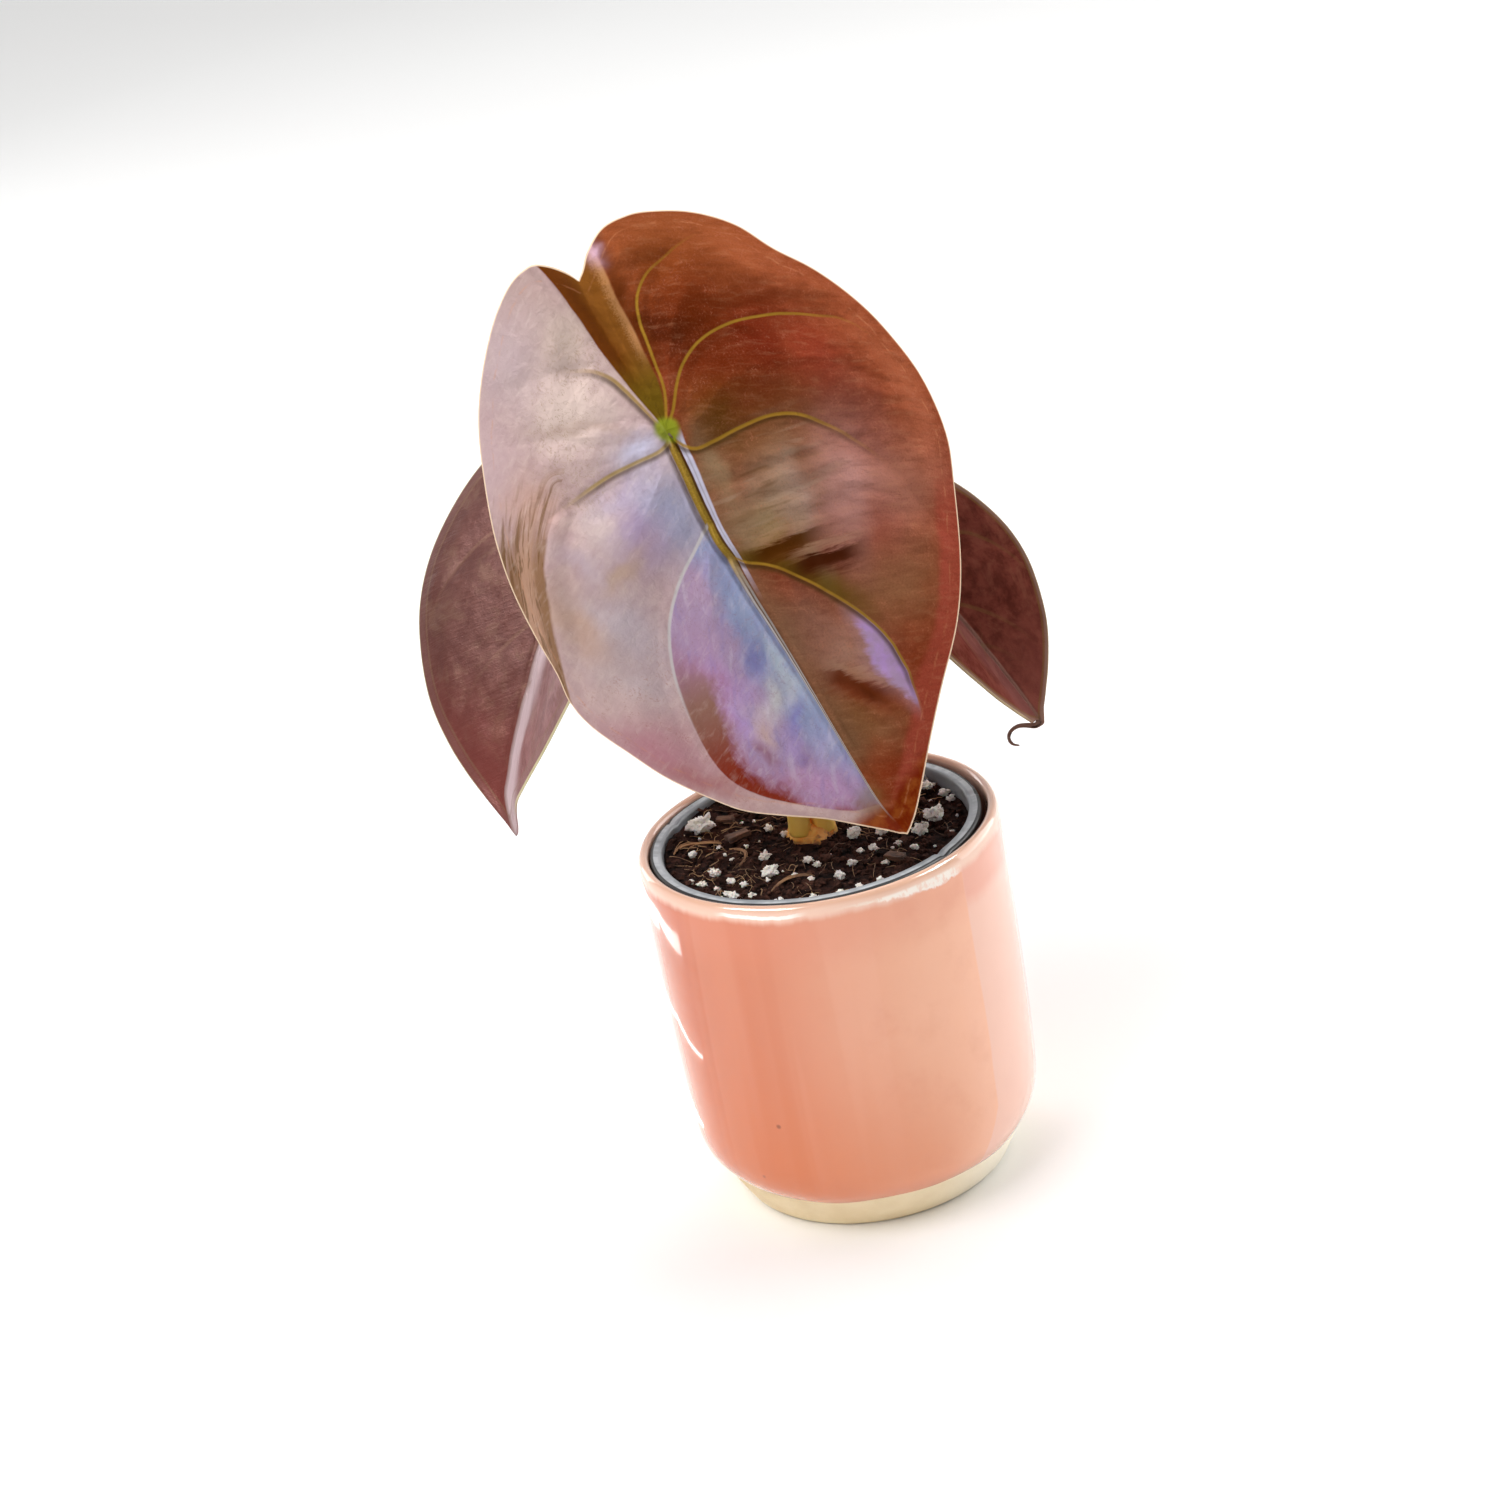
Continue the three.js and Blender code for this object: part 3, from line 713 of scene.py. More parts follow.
def makeMix(kit):
    random.seed(kit["seed"])
    build = bmesh.new()
    top = [(kit["radius"] * i / kit["rings"], kit["edgeHeight"]) for i in range(kit["rings"] + 1)]
    spinProfile(build, top + kit["side"], kit["steps"], kit["centreX"])
    for v in build.verts:
        x, y, z = v.co / mm
        if z > 69:
            near = 1 - math.exp(-((fromPlant(x, y) / 6.5) ** 4))
            v.co.z += (mixHeight(x, y) - kit["edgeHeight"] + lumpy(x, y) * near) * mm
    peat = peatFinish("darkPeat", tint(13, 7, 6), tint(64, 38, 31), tint(68, 39, 29))
    piece = meshPiece("pottingMix", build, materials=[peat])
    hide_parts("potting_mix")

    build = bmesh.new()
    for lump in (kit["crumbs"], kit["clods"]):
        for _ in range(lump["count"]):
            x, y = onMix(lump["reach"])
            size = random.choice(lump["sizes"]) if "sizes" in lump else random.uniform(*lump["between"])
            z = mixHeight(x, y) + lumpy(x, y) + size * random.uniform(*lump["sunk"])
            if fromPlant(x, y) > lump["gap"]:
                squash = (1, random.uniform(*lump["wide"]), random.uniform(*lump["tall"]))
                roughBall(build, (x, y, z), size, lump["faces"], lump["jag"], squash)
    crumbs = peatFinish("peatCrumbs", tint(15, 8, 7), tint(90, 58, 47), tint(80, 46, 33))
    meshPiece("peatCrumbs", build, materials=[crumbs], smooth=False)

    build = bmesh.new()
    for _ in range(kit["roots"]):
        x, y = onMix(27)
        if fromPlant(x, y) <= 5:
            continue
        length, turn, bow = random.uniform(1.8, 6.5), random.uniform(0, math.tau), random.uniform(-1.6, 1.6)
        lift = random.uniform(0.1, 1.0)
        line = []
        for px, py, arch in bowed(x, y, turn, length, bow, 0.0, kit["rootPoints"]):
            if math.hypot(px - kit["centreX"], py) > kit["wall"]:
                break
            line.append((px, py, mixHeight(px, py) + lumpy(px, py) + 0.12 + lift * arch * 0.8))
        if len(line) > 4:
            thinRod(build, line, random.uniform(0.05, 0.13), 4)
    rootlets = fibreFinish("rootlets", tint(104, 70, 46), tint(186, 146, 102))
    meshPiece("fineRoots", build, materials=[rootlets])


def fibreFinish(name, dark, light):
    shade = Shade(name)
    spot = shade.place()
    along = shade.noise(spot, 900, 3, 0.6)
    broad = shade.noise(spot, 120, 2, 0.5)
    colour = shade.mix(rise(0.3, 0.7, broad), dark, light)
    colour.coat(rise(0.5, 0.75, along) * 0.5, dark)
    return shade.finish(Base_Color=colour, Roughness=0.75 + along * 0.2, Normal=shade.bump(along, 0.5, 0.0002))


def perliteFinish():
    shade = Shade("perliteWhite")
    spot = shade.place()
    stain = shade.noise(spot, 520, 4, 0.6)
    pores = shade.cells(spot, 1500.0)
    fine = shade.noise(spot, 2600, 3, 0.6)
    broad = shade.noise(spot, 120, 2, 0.5)
    colour = shade.mix(rise(0.3, 0.7, broad), tint(248, 238, 224), tint(255, 252, 244))
    colour.coat(rise(0.62, 0.72, stain) * 0.8, 112, 78, 56)
    colour.coat(rise(0.24, 0.1, pores) * 0.5, 150, 122, 100)
    return shade.finish(
        Base_Color=colour,
        Roughness=0.9 + fine * 0.08,
        Subsurface_Weight=0.12, Subsurface_Scale=0.0006,
        Normal=shade.bump(pores + fine * 0.6, 0.7, 0.0004))


def makeGrains(kit):
    random.seed(kit["seed"])
    white = perliteFinish()
    build = bmesh.new()
    for x, y, size in kit["large"]:
        z = mixHeight(x, y) + size * 0.36
        squash = (1, random.uniform(0.8, 1), random.uniform(0.72, 0.85))
        roughBall(build, (x, y, z), size, 5, 0.6, squash, kit["pits"])
    piece = meshPiece("perliteGrains", build, materials=[white])
    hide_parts(*named("perlite_grain_"))

    build = bmesh.new()
    small = list(kit["small"])
    for _ in range(kit["strays"]):
        x, y = onMix(27.8)
        if fromPlant(x, y) > 6.6:
            small.append((x, y, random.uniform(0.45, 1.0)))
    for _ in range(kit["wallStrays"]):
        a = math.radians(random.uniform(205, 300))
        out = random.uniform(25.5, 28.2)
        small.append((mix["centreX"] + out * math.cos(a), out * math.sin(a), random.uniform(0.5, 1.6)))
    for x, y, size in small:
        z = mixHeight(x, y) + lumpy(x, y) + size * 0.45
        squash = (1, random.uniform(0.75, 1), random.uniform(0.7, 0.9))
        roughBall(build, (x, y, z), size, 3 if size > 1.05 else 2, 0.8, squash)
    meshPiece("perliteFines", build, materials=[white])


coirFibres = {
    "radius": 0.2, "seed": 23, "strands": 3, "points": 15,
    "list": [(-23.5, 3.5, 10, 20, 3), (-16.4, -2.6, 8, -80, 2), (-6.4, -18.8, 9, 20, 2), (15.8, 1.4, 9, 110, 2.2),
        (11, 21.4, 11, 160, 3)],
}
barkChips = {
    "seed": 31,
    "list": [(-15.2, 5.6, 4.6, 25), (13.6, -16.2, 3.8, -40), (1.6, 12.6, 4.2, 70), (-17.6, 14.8, 3.4, -15)],
}


def makeFibres(kit):
    random.seed(kit["seed"])
    build = bmesh.new()
    for x, y, length, angle, bow in kit["list"]:
        for strand in range(kit["strands"]):
            a = math.radians(angle + strand * 4)
            line = []
            for px, py, arch in bowed(x, y, a, length, bow, strand * 0.22 - 0.2, kit["points"]):
                lift = 0.3 + 0.35 * arch + 0.1 * strand
                line.append((px, py, mixHeight(px, py) + max(lumpy(px, py), -0.3) * 0.6 + lift))
            thinRod(build, line, kit["radius"] * (1 - 0.25 * strand), 7, 0.45)
    tan = fibreFinish("coirTan", tint(112, 74, 44), tint(178, 130, 84))
    piece = meshPiece("coirFibres", build, materials=[tan])
    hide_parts(*named("coir_fibre_"))


def barkFinish():
    shade = Shade("pineBark")
    spot = shade.place()
    x, y, z = shade.apart(spot)
    layers = shade.noise(shade.join(x * 260, y * 260, z * 2400), 1.0, 3, 0.6, 0.4)
    fine = shade.noise(spot, 1500, 3, 0.6)
    colour = shade.mix(rise(0.3, 0.7, layers), tint(58, 34, 24), tint(116, 76, 50))
    colour.coat(rise(0.55, 0.75, fine) * 0.4, 150, 112, 80)
    return shade.finish(
        Base_Color=colour,
        Roughness=0.85 + fine * 0.1,
        Normal=shade.bump(layers + fine * 0.4, 0.8, 0.0004))


def makeBark(kit):
    random.seed(kit["seed"])
    build = bmesh.new()
    for x, y, length, angle in kit["list"]:
        part = bmesh.new()
        bmesh.ops.create_cube(part, size=1)
        bmesh.ops.subdivide_edges(part, edges=part.edges[:], cuts=9, use_grid_fill=True)
        seed = random.uniform(0, 40)
        for v in part.verts:
            u, w, h = v.co.x, v.co.y, v.co.z
            ragged = 1 + 0.25 * soft(u * 2.2, w * 2.2, seed)
            step = 0.12 * math.floor(soft(u * 3 + seed, w * 5, 0) * 4) / 4
            v.co = Vector((u * length * ragged, w * length * 0.55 * ragged, h + step * (h > 0.3) + 0.25 * u * u))
        turn = Matrix.Rotation(math.radians(angle), 3, "Z") @ Matrix.Rotation(random.uniform(-0.12, 0.12), 3, "X")
        for v in part.verts:
            v.co = (turn @ v.co + Vector((x, y, mixHeight(x, y) + 0.75))) * mm
        closeUp(part, 1e-7)
        addPart(build, part)
    piece = meshPiece("barkChips", build, materials=[barkFinish()])
    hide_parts(*named("bark_chip_"))


makeMix(mix)
makeGrains(grains)
makeFibres(coirFibres)
makeBark(barkChips)
print("potting mix, perlite, fibres and bark are laid")


# leaves: shapes

tailStart = 0.965       # where a drip tip starts, as a part of the leaf's length
# flatPart is how far out the two skins stay flat before the rim rounds off
bladeKit = {"thickness": 0.5, "rounding": 1.8, "edgeRings": 4, "underRings": 50, "flatPart": 0.993}

sideRight = [
    (1.0, 0.0), (0.974, 0.03), (0.9, 0.108), (0.8, 0.23), (0.685, 0.345), (0.55, 0.435), (0.42, 0.497), (0.28, 0.524),
    (0.13, 0.516), (-0.02, 0.482), (-0.17, 0.415), (-0.305, 0.337), (-0.397, 0.251), (-0.444, 0.175), (-0.458, 0.1),
    (-0.4, 0.026), (-0.372, 0.0),
]
# veins: how deep they sink, from where to where along them they fade out, and their points
sideVeins = [      # parts of the length, right half; the left half mirrors them
    (0.7, (0.35, 0.95), [(0, 0), (-0.07, 0.04), (-0.16, 0.062), (-0.23, 0.08), (-0.3, 0.125), (-0.345, 0.2),
     (-0.38, 0.3)]),
    (0.8, (0.5, 0.95), [(0, 0), (-0.03, 0.035), (-0.08, 0.08), (-0.125, 0.15), (-0.13, 0.22), (-0.1, 0.33),
     (-0.04, 0.43), (0.06, 0.5)]),
    (0.9, (0.5, 0.95), [(0.03, 0), (0.06, 0.06), (0.08, 0.14), (0.1, 0.23), (0.16, 0.32), (0.25, 0.38), (0.36, 0.42),
     (0.46, 0.44)]),
    (0.8, (0.5, 1.0), [(0.3, 0), (0.34, 0.04), (0.4, 0.09), (0.5, 0.155), (0.6, 0.2), (0.71, 0.225), (0.8, 0.22)]),
    (0.45, (0.3, 0.9), [(0.54, 0), (0.6, 0.045), (0.68, 0.085), (0.77, 0.11), (0.86, 0.115)]),
]

leaves = {
    "front": {
        "join": (-13.6, -13, 161.4), "length": 86.7, "droop": 60.8, "heading": -44.5, "turn": 41.8, "bendTip": 0.0035,
        "bendLobes": 0.008,
        "foldLeft": 0.22, "foldRight": 0.22, "curlLeft": 0.0075, "curlRight": 0.0075, "valleyDepth": 4, "tipDrift": 0,
        "spokes": 500, "rings": 122, "quilt": 2.4, "midrib": 1.5, "veinDepth": 1.9, "seed": 2.7,
        "right": [
            (86.7, 0), (84.7, 3.1), (80.3, 7.5), (74.2, 13.3), (67.6, 20.1), (59, 29.7), (50, 36.7), (36.9, 44),
            (27.5, 48.4), (15.8, 50.1), (4.9, 48.8), (-5, 46), (-14.2, 41.7), (-21.7, 36.5), (-29.5, 32.2),
            (-35.5, 25.7), (-39.1, 18), (-39.9, 13.5), (-39.6, 9.1), (-37.3, 5), (-34.9, 2.6), (-33.7, 0.7),
        ],
        "left": [
            (86.7, 0), (84.6, -2.8), (80.8, -7.4), (76.9, -12.3), (72.8, -19.1), (69.4, -24.4), (65.9, -28),
            (57.1, -35), (49.2, -39.4), (41.1, -43.5), (34.7, -44.8), (28.7, -44), (20.5, -43.8), (11.4, -43),
            (3.4, -41.3), (-5.2, -38.4), (-16.5, -33.4), (-23.2, -29.5), (-29.2, -24.6), (-34.7, -18.9), (-38.2, -14),
            (-39.9, -10), (-39.9, -6.4), (-38, -3.2), (-35.6, -1), (-33.7, 0.7),
        ],
        "seam": [
            (-40, -5.2), (-35, -4.2), (-27.1, -3.5), (-17.6, -2.9), (-9, -1.7), (-3, -0.5), (0, -0.1), (3, -0.6),
            (8.7, -1.2), (15, -2), (20, -2.5), (27, -2.2), (35, -2.1), (45, -1.8), (58, -1.7), (70, -1.7), (79, -1.5),
            (84, -0.5), (88, 0.2),
        ],
        "ridge": [(-42, 6.6), (-36.5, 6.1), (-32, 5.8), (-26.8, 5.2), (-20, 5), (-15.3, 4.4), (-11.1, 4), (-7, 3.3),
            (-3, 1.8), (0, 0.2)],
        "crease": [(-1, -23), (2.2, -26.3), (8.3, -31.2), (19.5, -36.6), (29.9, -41.5), (36, -45)],
        "lines": {
            "redEdge": [(30, -21), (36.5, -20.6), (40.5, -17.4), (44, -15.9), (49.3, -17.2), (54, -18.6),
                           (60.2, -19.2), (64.8, -17.6), (68.1, -15.4), (73.7, -11.9), (78.1, -5.6), (80, 0)],
            "lens": [(44, 13), (46.6, 12.2), (50.8, 11.9), (56.1, 10.6), (61.2, 12.0), (66.0, 14.2), (70, 17)],
            "foldUpper": [(27.6, -1), (28.3, 4.5), (28.6, 7.6), (29.5, 11.6), (31, 18)],
            "foldMiddle": [(33.3, 5.0), (34.2, 12), (35.4, 15.9), (37.4, 23)],
            "foldLower": [(51.5, 0), (55.8, 5.0), (60.2, 8.1), (66.2, 12.2)],
        },
        "veins": [
            ("A", 0.55, (0.6, 0.82), [(0, 0), (-6.3, 3.6), (-13.9, 5.3), (-19.6, 6.4), (-23.4, 7.8), (-26, 10),
             (-28, 13.4), (-29.2, 18), (-30.5, 24.5), (-33, 31)]),
            ("B", 0.6, (0.55, 0.85), [(0, 0), (-2.4, 3), (-6.3, 6.2), (-9.2, 9.4), (-11.2, 13.6), (-11.8, 18.4),
             (-11, 24), (-8.8, 30.6), (-5.4, 36.5), (-2, 40.9), (4.3, 44.6), (14, 48)]),
            ("C", 0.95, (0.5, 0.86), [(1, 0), (5.2, 2.6), (6, 6.8), (6.2, 11.7), (6.9, 17.6), (8.6, 21.9), (11, 24.9),
             (14.8, 27.9), (20.4, 31.2), (26.7, 33.4), (34.4, 34.6), (44, 36.4)]),
            ("D", 0.95, (0.72, 0.93), [(25.5, -2.2), (27.6, 0), (30.2, 3.6), (34.8, 7.4), (42.8, 12.2), (48.6, 14.8),
             (55, 16.2), (61.9, 16.1), (67.5, 14.6), (74, 12)]),
            ("E", 0.55, (0.35, 0.72), [(0, -0.2), (-2.8, -0.9), (-9.6, -2.8), (-13.2, -4), (-15.9, -5.9), (-18, -8.7),
             (-19.9, -12.3), (-21, -16.4), (-23, -22), (-26.5, -27.5)]),
            ("F", 0.8, (0.45, 0.72), [(1.6, -0.2), (2.6, -3.2), (2.1, -8.1), (1.6, -13.4), (1.7, -17.9), (2.0, -22),
             (2.4, -26.3), (5, -33), (9, -41)]),
            ("G", 0.65, (0.9, 1.2), [(18.2, -2.4), (21.4, -7.4), (24, -11.6), (27.2, -15.4), (31.2, -18.9),
             (37.2, -22), (43.8, -23.9), (51.1, -25), (57.6, -25.1), (63, -23.6), (67.5, -20.4), (71.4, -15.8),
             (75, -10.8), (78, -6.2), (79, -1.6)]),
            ("H", 0.2, (0.2, 0.9), [(46, -1.8), (52, 3.4), (58.6, 7.2), (66, 9.4), (74, 8.6)]),
            ("I", 0.2, (0.3, 0.9), [(-1, -0.2), (-4, -8), (-7.4, -15), (-11.5, -22.5), (-15, -31)]),
        ],
    },
    "left": {
        "join": (-32.1, 31.7, 133), "length": 64.3, "droop": 44.4, "heading": -146.5, "turn": 0.8, "bendTip": 0.007,
        "bendLobes": 0.008,
        "foldLeft": -0.468, "foldRight": -0.457, "curlLeft": 0.01, "curlRight": 0.009, "valleyDepth": 1,
        "tipDrift": 4.6,
        "spokes": 360, "rings": 84, "quilt": 0.9, "midrib": 0.5, "veinDepth": 1.0, "seed": 13.1, "width": 1.025,
    },
    "right": {
        "join": (25.2, 21, 118.1), "length": 45.6, "droop": 50.6, "heading": -23.9, "turn": 18.9, "bendTip": 0.007,
        "bendLobes": 0.008,
        "foldLeft": -0.675, "foldRight": -0.184, "curlLeft": 0.008, "curlRight": 0.009, "valleyDepth": 1, "tipDrift": 0,
        "tail": [(0, 0), (-1.0, -0.8), (-2.7, -0.75), (-4.3, -0.9), (-5.5, -1.6), (-6.2, -2.7), (-6.0, -3.9),
            (-5.3, -4.5), (-3.9, -4.7)],
        "spokes": 320, "rings": 72, "quilt": 0.8, "midrib": 0.4, "veinDepth": 1.0, "seed": 21.9, "width": 1.006,
    },
}


def completeLeaf(leaf):
    # the two side leaves take the usual outline and veins, stretched to their own length
    size = leaf["length"]
    if "right" not in leaf:
        edge = sideRight
        if "tail" in leaf:      # a thread-like drip tip goes on past the blade
            reach = lengthsAlong(leaf["tail"])[-1] / size
            hook = [(tailStart + reach * part, t) for part, t in ((1, 0.0), (0.97, 0.004), (0.5, 0.0085))]
            edge = hook + [(0.985, 0.014), (0.96, 0.03)] + sideRight[2:]
        leaf["right"] = [(s * size, t * size * leaf["width"]) for s, t in edge]
        leaf["left"] = [(s, -t) for s, t in leaf["right"]]
        leaf["seam"] = [(part * size, 0) for part in (-0.42, -0.2, 0, 0.3, 0.6, 0.9, 1.04)]
        leaf["ridge"] = [(-0.5 * size, 0.5), (-0.2 * size, 0.3), (0, 0)]
        leaf["crease"] = [(0, -0.9 * size), (size, -0.9 * size)]
        leaf["veins"] = []
        for side in (1, -1):
            for i, (deep, fade, line) in enumerate(sideVeins):
                slip = 0.012 * math.sin(3.1 * i + side + leaf["seed"])
                line = [(s * size + slip * size * min(abs(t) * 8, 1), t * size * side) for s, t in line]
                leaf["veins"].append(("RL"[side < 0] + str(i), deep * 0.6, fade, line))
    half = leaf["spokes"] // 2
    right, left = smoothLine(leaf["right"], 8), smoothLine(leaf["left"], 8)[::-1]
    leaf["rim"] = np.vstack([spacedLine(right, half + 1)[:-1], spacedLine(left, half + 1)[:-1]])


def leafAxes(leaf):
    droop, turn, way = (math.radians(leaf[k]) for k in ("droop", "turn", "heading"))
    level, up = np.array([math.cos(way), math.sin(way), 0]), np.array([0, 0, 1])
    along = level * math.cos(droop) - up * math.sin(droop)
    face = level * math.sin(droop) + up * math.cos(droop)
    across = np.cross(face, along)
    return along, across * math.cos(turn) + face * math.sin(turn), face * math.cos(turn) - across * math.sin(turn)


def bladePoints(leaf, s, t, lift):
    # from the flat leaf, in mm, to where its curved surface lies in space
    along, across, face = leafAxes(leaf)
    tuck = bladeKit["rounding"]
    bend = np.where(s > 0, leaf["bendTip"], leaf["bendLobes"])
    swing = bend * s
    spot = np.array(leaf["join"]) + (np.sin(swing) / bend)[:, None] * along
    spot = spot + ((np.cos(swing) - 1) / bend)[:, None] * face
    ownFace = np.cos(swing)[:, None] * face + np.sin(swing)[:, None] * along
    fold = np.where(t > 0, leaf["foldRight"], leaf["foldLeft"])
    curl = np.where(t > 0, leaf["curlRight"], leaf["curlLeft"])
    reach = np.abs(t)
    hyp = np.hypot(reach, tuck)
    bent = hyp - tuck
    slope = fold + curl * bent
    out = (np.sin(slope) - np.sin(fold)) / curl + reach - bent
    fall = (np.cos(fold) - np.cos(slope)) / curl
    rate = reach / hyp
    level, drop = np.cos(slope) * rate + 1 - rate, np.sin(slope) * rate
    size = np.hypot(level, drop)
    width = leaf["length"] * np.where(t > 0, 0.075, 0.04)
    valley = leaf["valleyDepth"] * fadeIn(0.02, 0.3, -s / leaf["length"]) * np.exp(-((t / width) ** 2))
    drift = leaf["tipDrift"] * fadeIn(0.86, 1.12, s / leaf["length"]) * 2
    rise = lift - valley
    side = np.sign(t)
    sideways, upward = side * out + drift + side * drop * rise / size, level * rise / size - fall
    return spot + sideways[:, None] * across + upward[:, None] * ownFace


def relief(leaf, s, t, marks):
    # what stands out of the smooth blade, in mm: sunk veins, puffed fields between them, ripples
    size = leaf["length"]
    seam = marks["seam"]
    nearest = np.minimum(np.abs(seam), 30)
    sunk = np.zeros(s.shape)
    for name, deep, fade, _ in leaf["veins"]:
        far = np.abs(marks[name])
        along = marks[name + "Along"]
        strong = 1 - fadeIn(*fade, along)
        wide = 1.25 - 0.6 * along
        groove = 0.7 * np.exp(-((far / wide) ** 2)) + 0.3 * np.exp(-((far / (wide * 2.6)) ** 2))
        sunk = np.maximum(sunk, leaf["veinDepth"] * deep * (0.35 + 0.65 * (1 - along)) * strong * groove)
        nearest = np.minimum(nearest, far + 6 * (1 - strong))
    marks["nearest"] = np.minimum(nearest, np.abs(seam))
    rim = marks["rim"]
    calm = 1 - 0.6 * fadeIn(0, -3, t) * fadeIn(12, -2, s)
    puff = leaf["quilt"] * calm * (1 - np.exp(-((nearest / 6.5) ** 2))) * fadeIn(0, 9, rim) - leaf["quilt"] * 0.35
    taper = 1 - 0.72 * fadeIn(0, 0.95, s / size)
    floor = 0.85 * taper + 0.1
    scale = size / leaves["front"]["length"]
    rightWall = floor + (1.75 * taper + 0.25) * scale
    leftWall = floor + (0.7 * taper + 0.2) * scale
    trough = 1 - np.where(seam > 0, fadeIn(floor, rightWall, seam), fadeIn(floor, leftWall, -seam))
    rib = 0.32 * np.exp(-((seam / (0.55 * floor)) ** 2))
    ahead = fadeIn(-1, 6, s)
    trough = leaf["midrib"] * ahead * taper * (trough - rib * trough)
    return puff * fadeIn(0, 2.5, nearest) - sunk * fadeIn(-0.5, 1.6, rim) - trough


def bladeMesh(name, leaf):
    # a flat plate of two skins joined at the rim, laid out in rings about the stalk's joint
    kit, flatPart = bladeKit, bladeKit["flatPart"]
    half = kit["thickness"] / 2
    layers = [((i / leaf["rings"]) ** 1.12 * flatPart, half) for i in range(leaf["rings"] + 1)]
    for i in range(1, kit["edgeRings"]):
        a = math.pi * i / kit["edgeRings"]
        layers.append((flatPart + (1 - flatPart) * math.sin(a), half * math.cos(a)))
    layers += [((1 - i / kit["underRings"]) * flatPart, -half) for i in range(kit["underRings"] + 1)]
    build = bmesh.new()
    bmesh.ops.create_grid(build, x_segments=leaf["spokes"], y_segments=len(layers) - 1, size=1)
    rim, spokes = leaf["rim"], leaf["spokes"]
    for v in build.verts:
        spoke = round((v.co.x + 1) / 2 * spokes) % spokes
        part, level = layers[round((v.co.y + 1) / 2 * (len(layers) - 1))]
        v.co = (rim[spoke][0] * part, rim[spoke][1] * part, level)
    closeUp(build, 1e-5)
    mesh = bpy.data.meshes.new(name)
    build.to_mesh(mesh)
    build.free()
    flat = np.zeros(len(mesh.vertices) * 3)
    mesh.vertices.foreach_get("co", flat)
    s, t, level = flat.reshape(-1, 3).T
    marks = {key: distanceTo(smoothLine(leaf[key], 5), s, t)[0] for key in ("seam", "ridge", "crease")}
    lines = dict(leaf.get("lines", {}))
    lines.update((name, line) for name, _, _, line in leaf["veins"])
    for key, line in lines.items():
        marks[key], marks[key + "Along"] = distanceTo(smoothLine(line, 5), s, t)
    marks["rim"] = np.abs(distanceTo(np.vstack([rim, rim[:1]]), s, t)[0])
    lift = relief(leaf, s, t, marks) + leafRipples(name, leaf, s, t, marks)
    leaf["joinLift"] = float(lift[np.argmin(np.hypot(s, t))])
    # the underside bulges along the veins
    thicker = np.where(level < 0, 1 + 1.2 * np.exp(-(marks["nearest"] / 1.6) ** 2), 1)
    spots = bladePoints(leaf, s, t, lift + level * thicker)
    if "tail" in leaf:
        spots = curlTail(leaf, s, t, level, spots)
    # the plan of the leaf rides along as a UV map, in tenths of a metre
    corner = np.zeros(len(mesh.loops), int)
    mesh.loops.foreach_get("vertex_index", corner)
    plan = mesh.uv_layers.new(name="leafPlan")
    plan.data.foreach_set("uv", (np.stack([s, t], axis=1)[corner] / 100).ravel())
    for key, values in marks.items():
        if key != "nearest" and (not key.endswith("Along") or key.startswith("fold")):
            mesh.attributes.new(key, "FLOAT", "POINT").data.foreach_set("value", values.astype(np.float32))
    mesh.vertices.foreach_set("co", (spots * mm).ravel())
    under = np.zeros(len(mesh.polygons), int)
    first = np.zeros(len(mesh.polygons), int)
    mesh.polygons.foreach_get("loop_start", first)
    under[level[corner[first]] < -half * 0.5] = 1
    mesh.polygons.foreach_set("material_index", under)
    mesh.polygons.foreach_set("use_smooth", [True] * len(mesh.polygons))
    mesh.update()
    return mesh


def curlTail(leaf, s, t, level, spots):
    # winds the drip tip along its path, which is given in mm to the right and up as the camera sees it
    right, up, back = (np.array(axis) for axis in scene.camera.matrix_world.to_3x3().transposed())
    path = smoothLine(leaf["tail"], 6)
    gaps = lengthsAlong(path)
    ways = np.gradient(path, gaps, axis=0)
    start = leaf["length"] * tailStart
    beyond = s - start
    at = np.clip(beyond, 0, gaps[-1])
    x, y, dx, dy = (np.interp(at, gaps, row) for row in (path[:, 0], path[:, 1], ways[:, 0], ways[:, 1]))
    tip = bladePoints(leaf, np.array([start]), np.zeros(1), np.zeros(1))[0]
    wound = tip + (x - dy * t)[:, None] * right + (y + dx * t)[:, None] * up + level[:, None] * back
    part = fadeIn(-1.5, 0.6, beyond)[:, None]
    return spots * (1 - part) + wound * part


rippleRows = [      # waves of the big leaf: place, spread, angle, length and height
    (18, 13, (9, 13), -12, 5.2, 0.42), (52, 13, (5, 10), -30, 9, 0.35), (62, 3, (6, 9), -40, 7, 0.25),
    (40, 27, (9, 12), -35, 13, 0.3), (14, 38, (9, 9), -40, 12, 0.3), (50, -12, (9, 8), 20, 8, 0.28),
    (30, -33, (9, 9), 40, 10, 0.22), (-22, -12, (8, 9), 60, 9, 0.2),
]


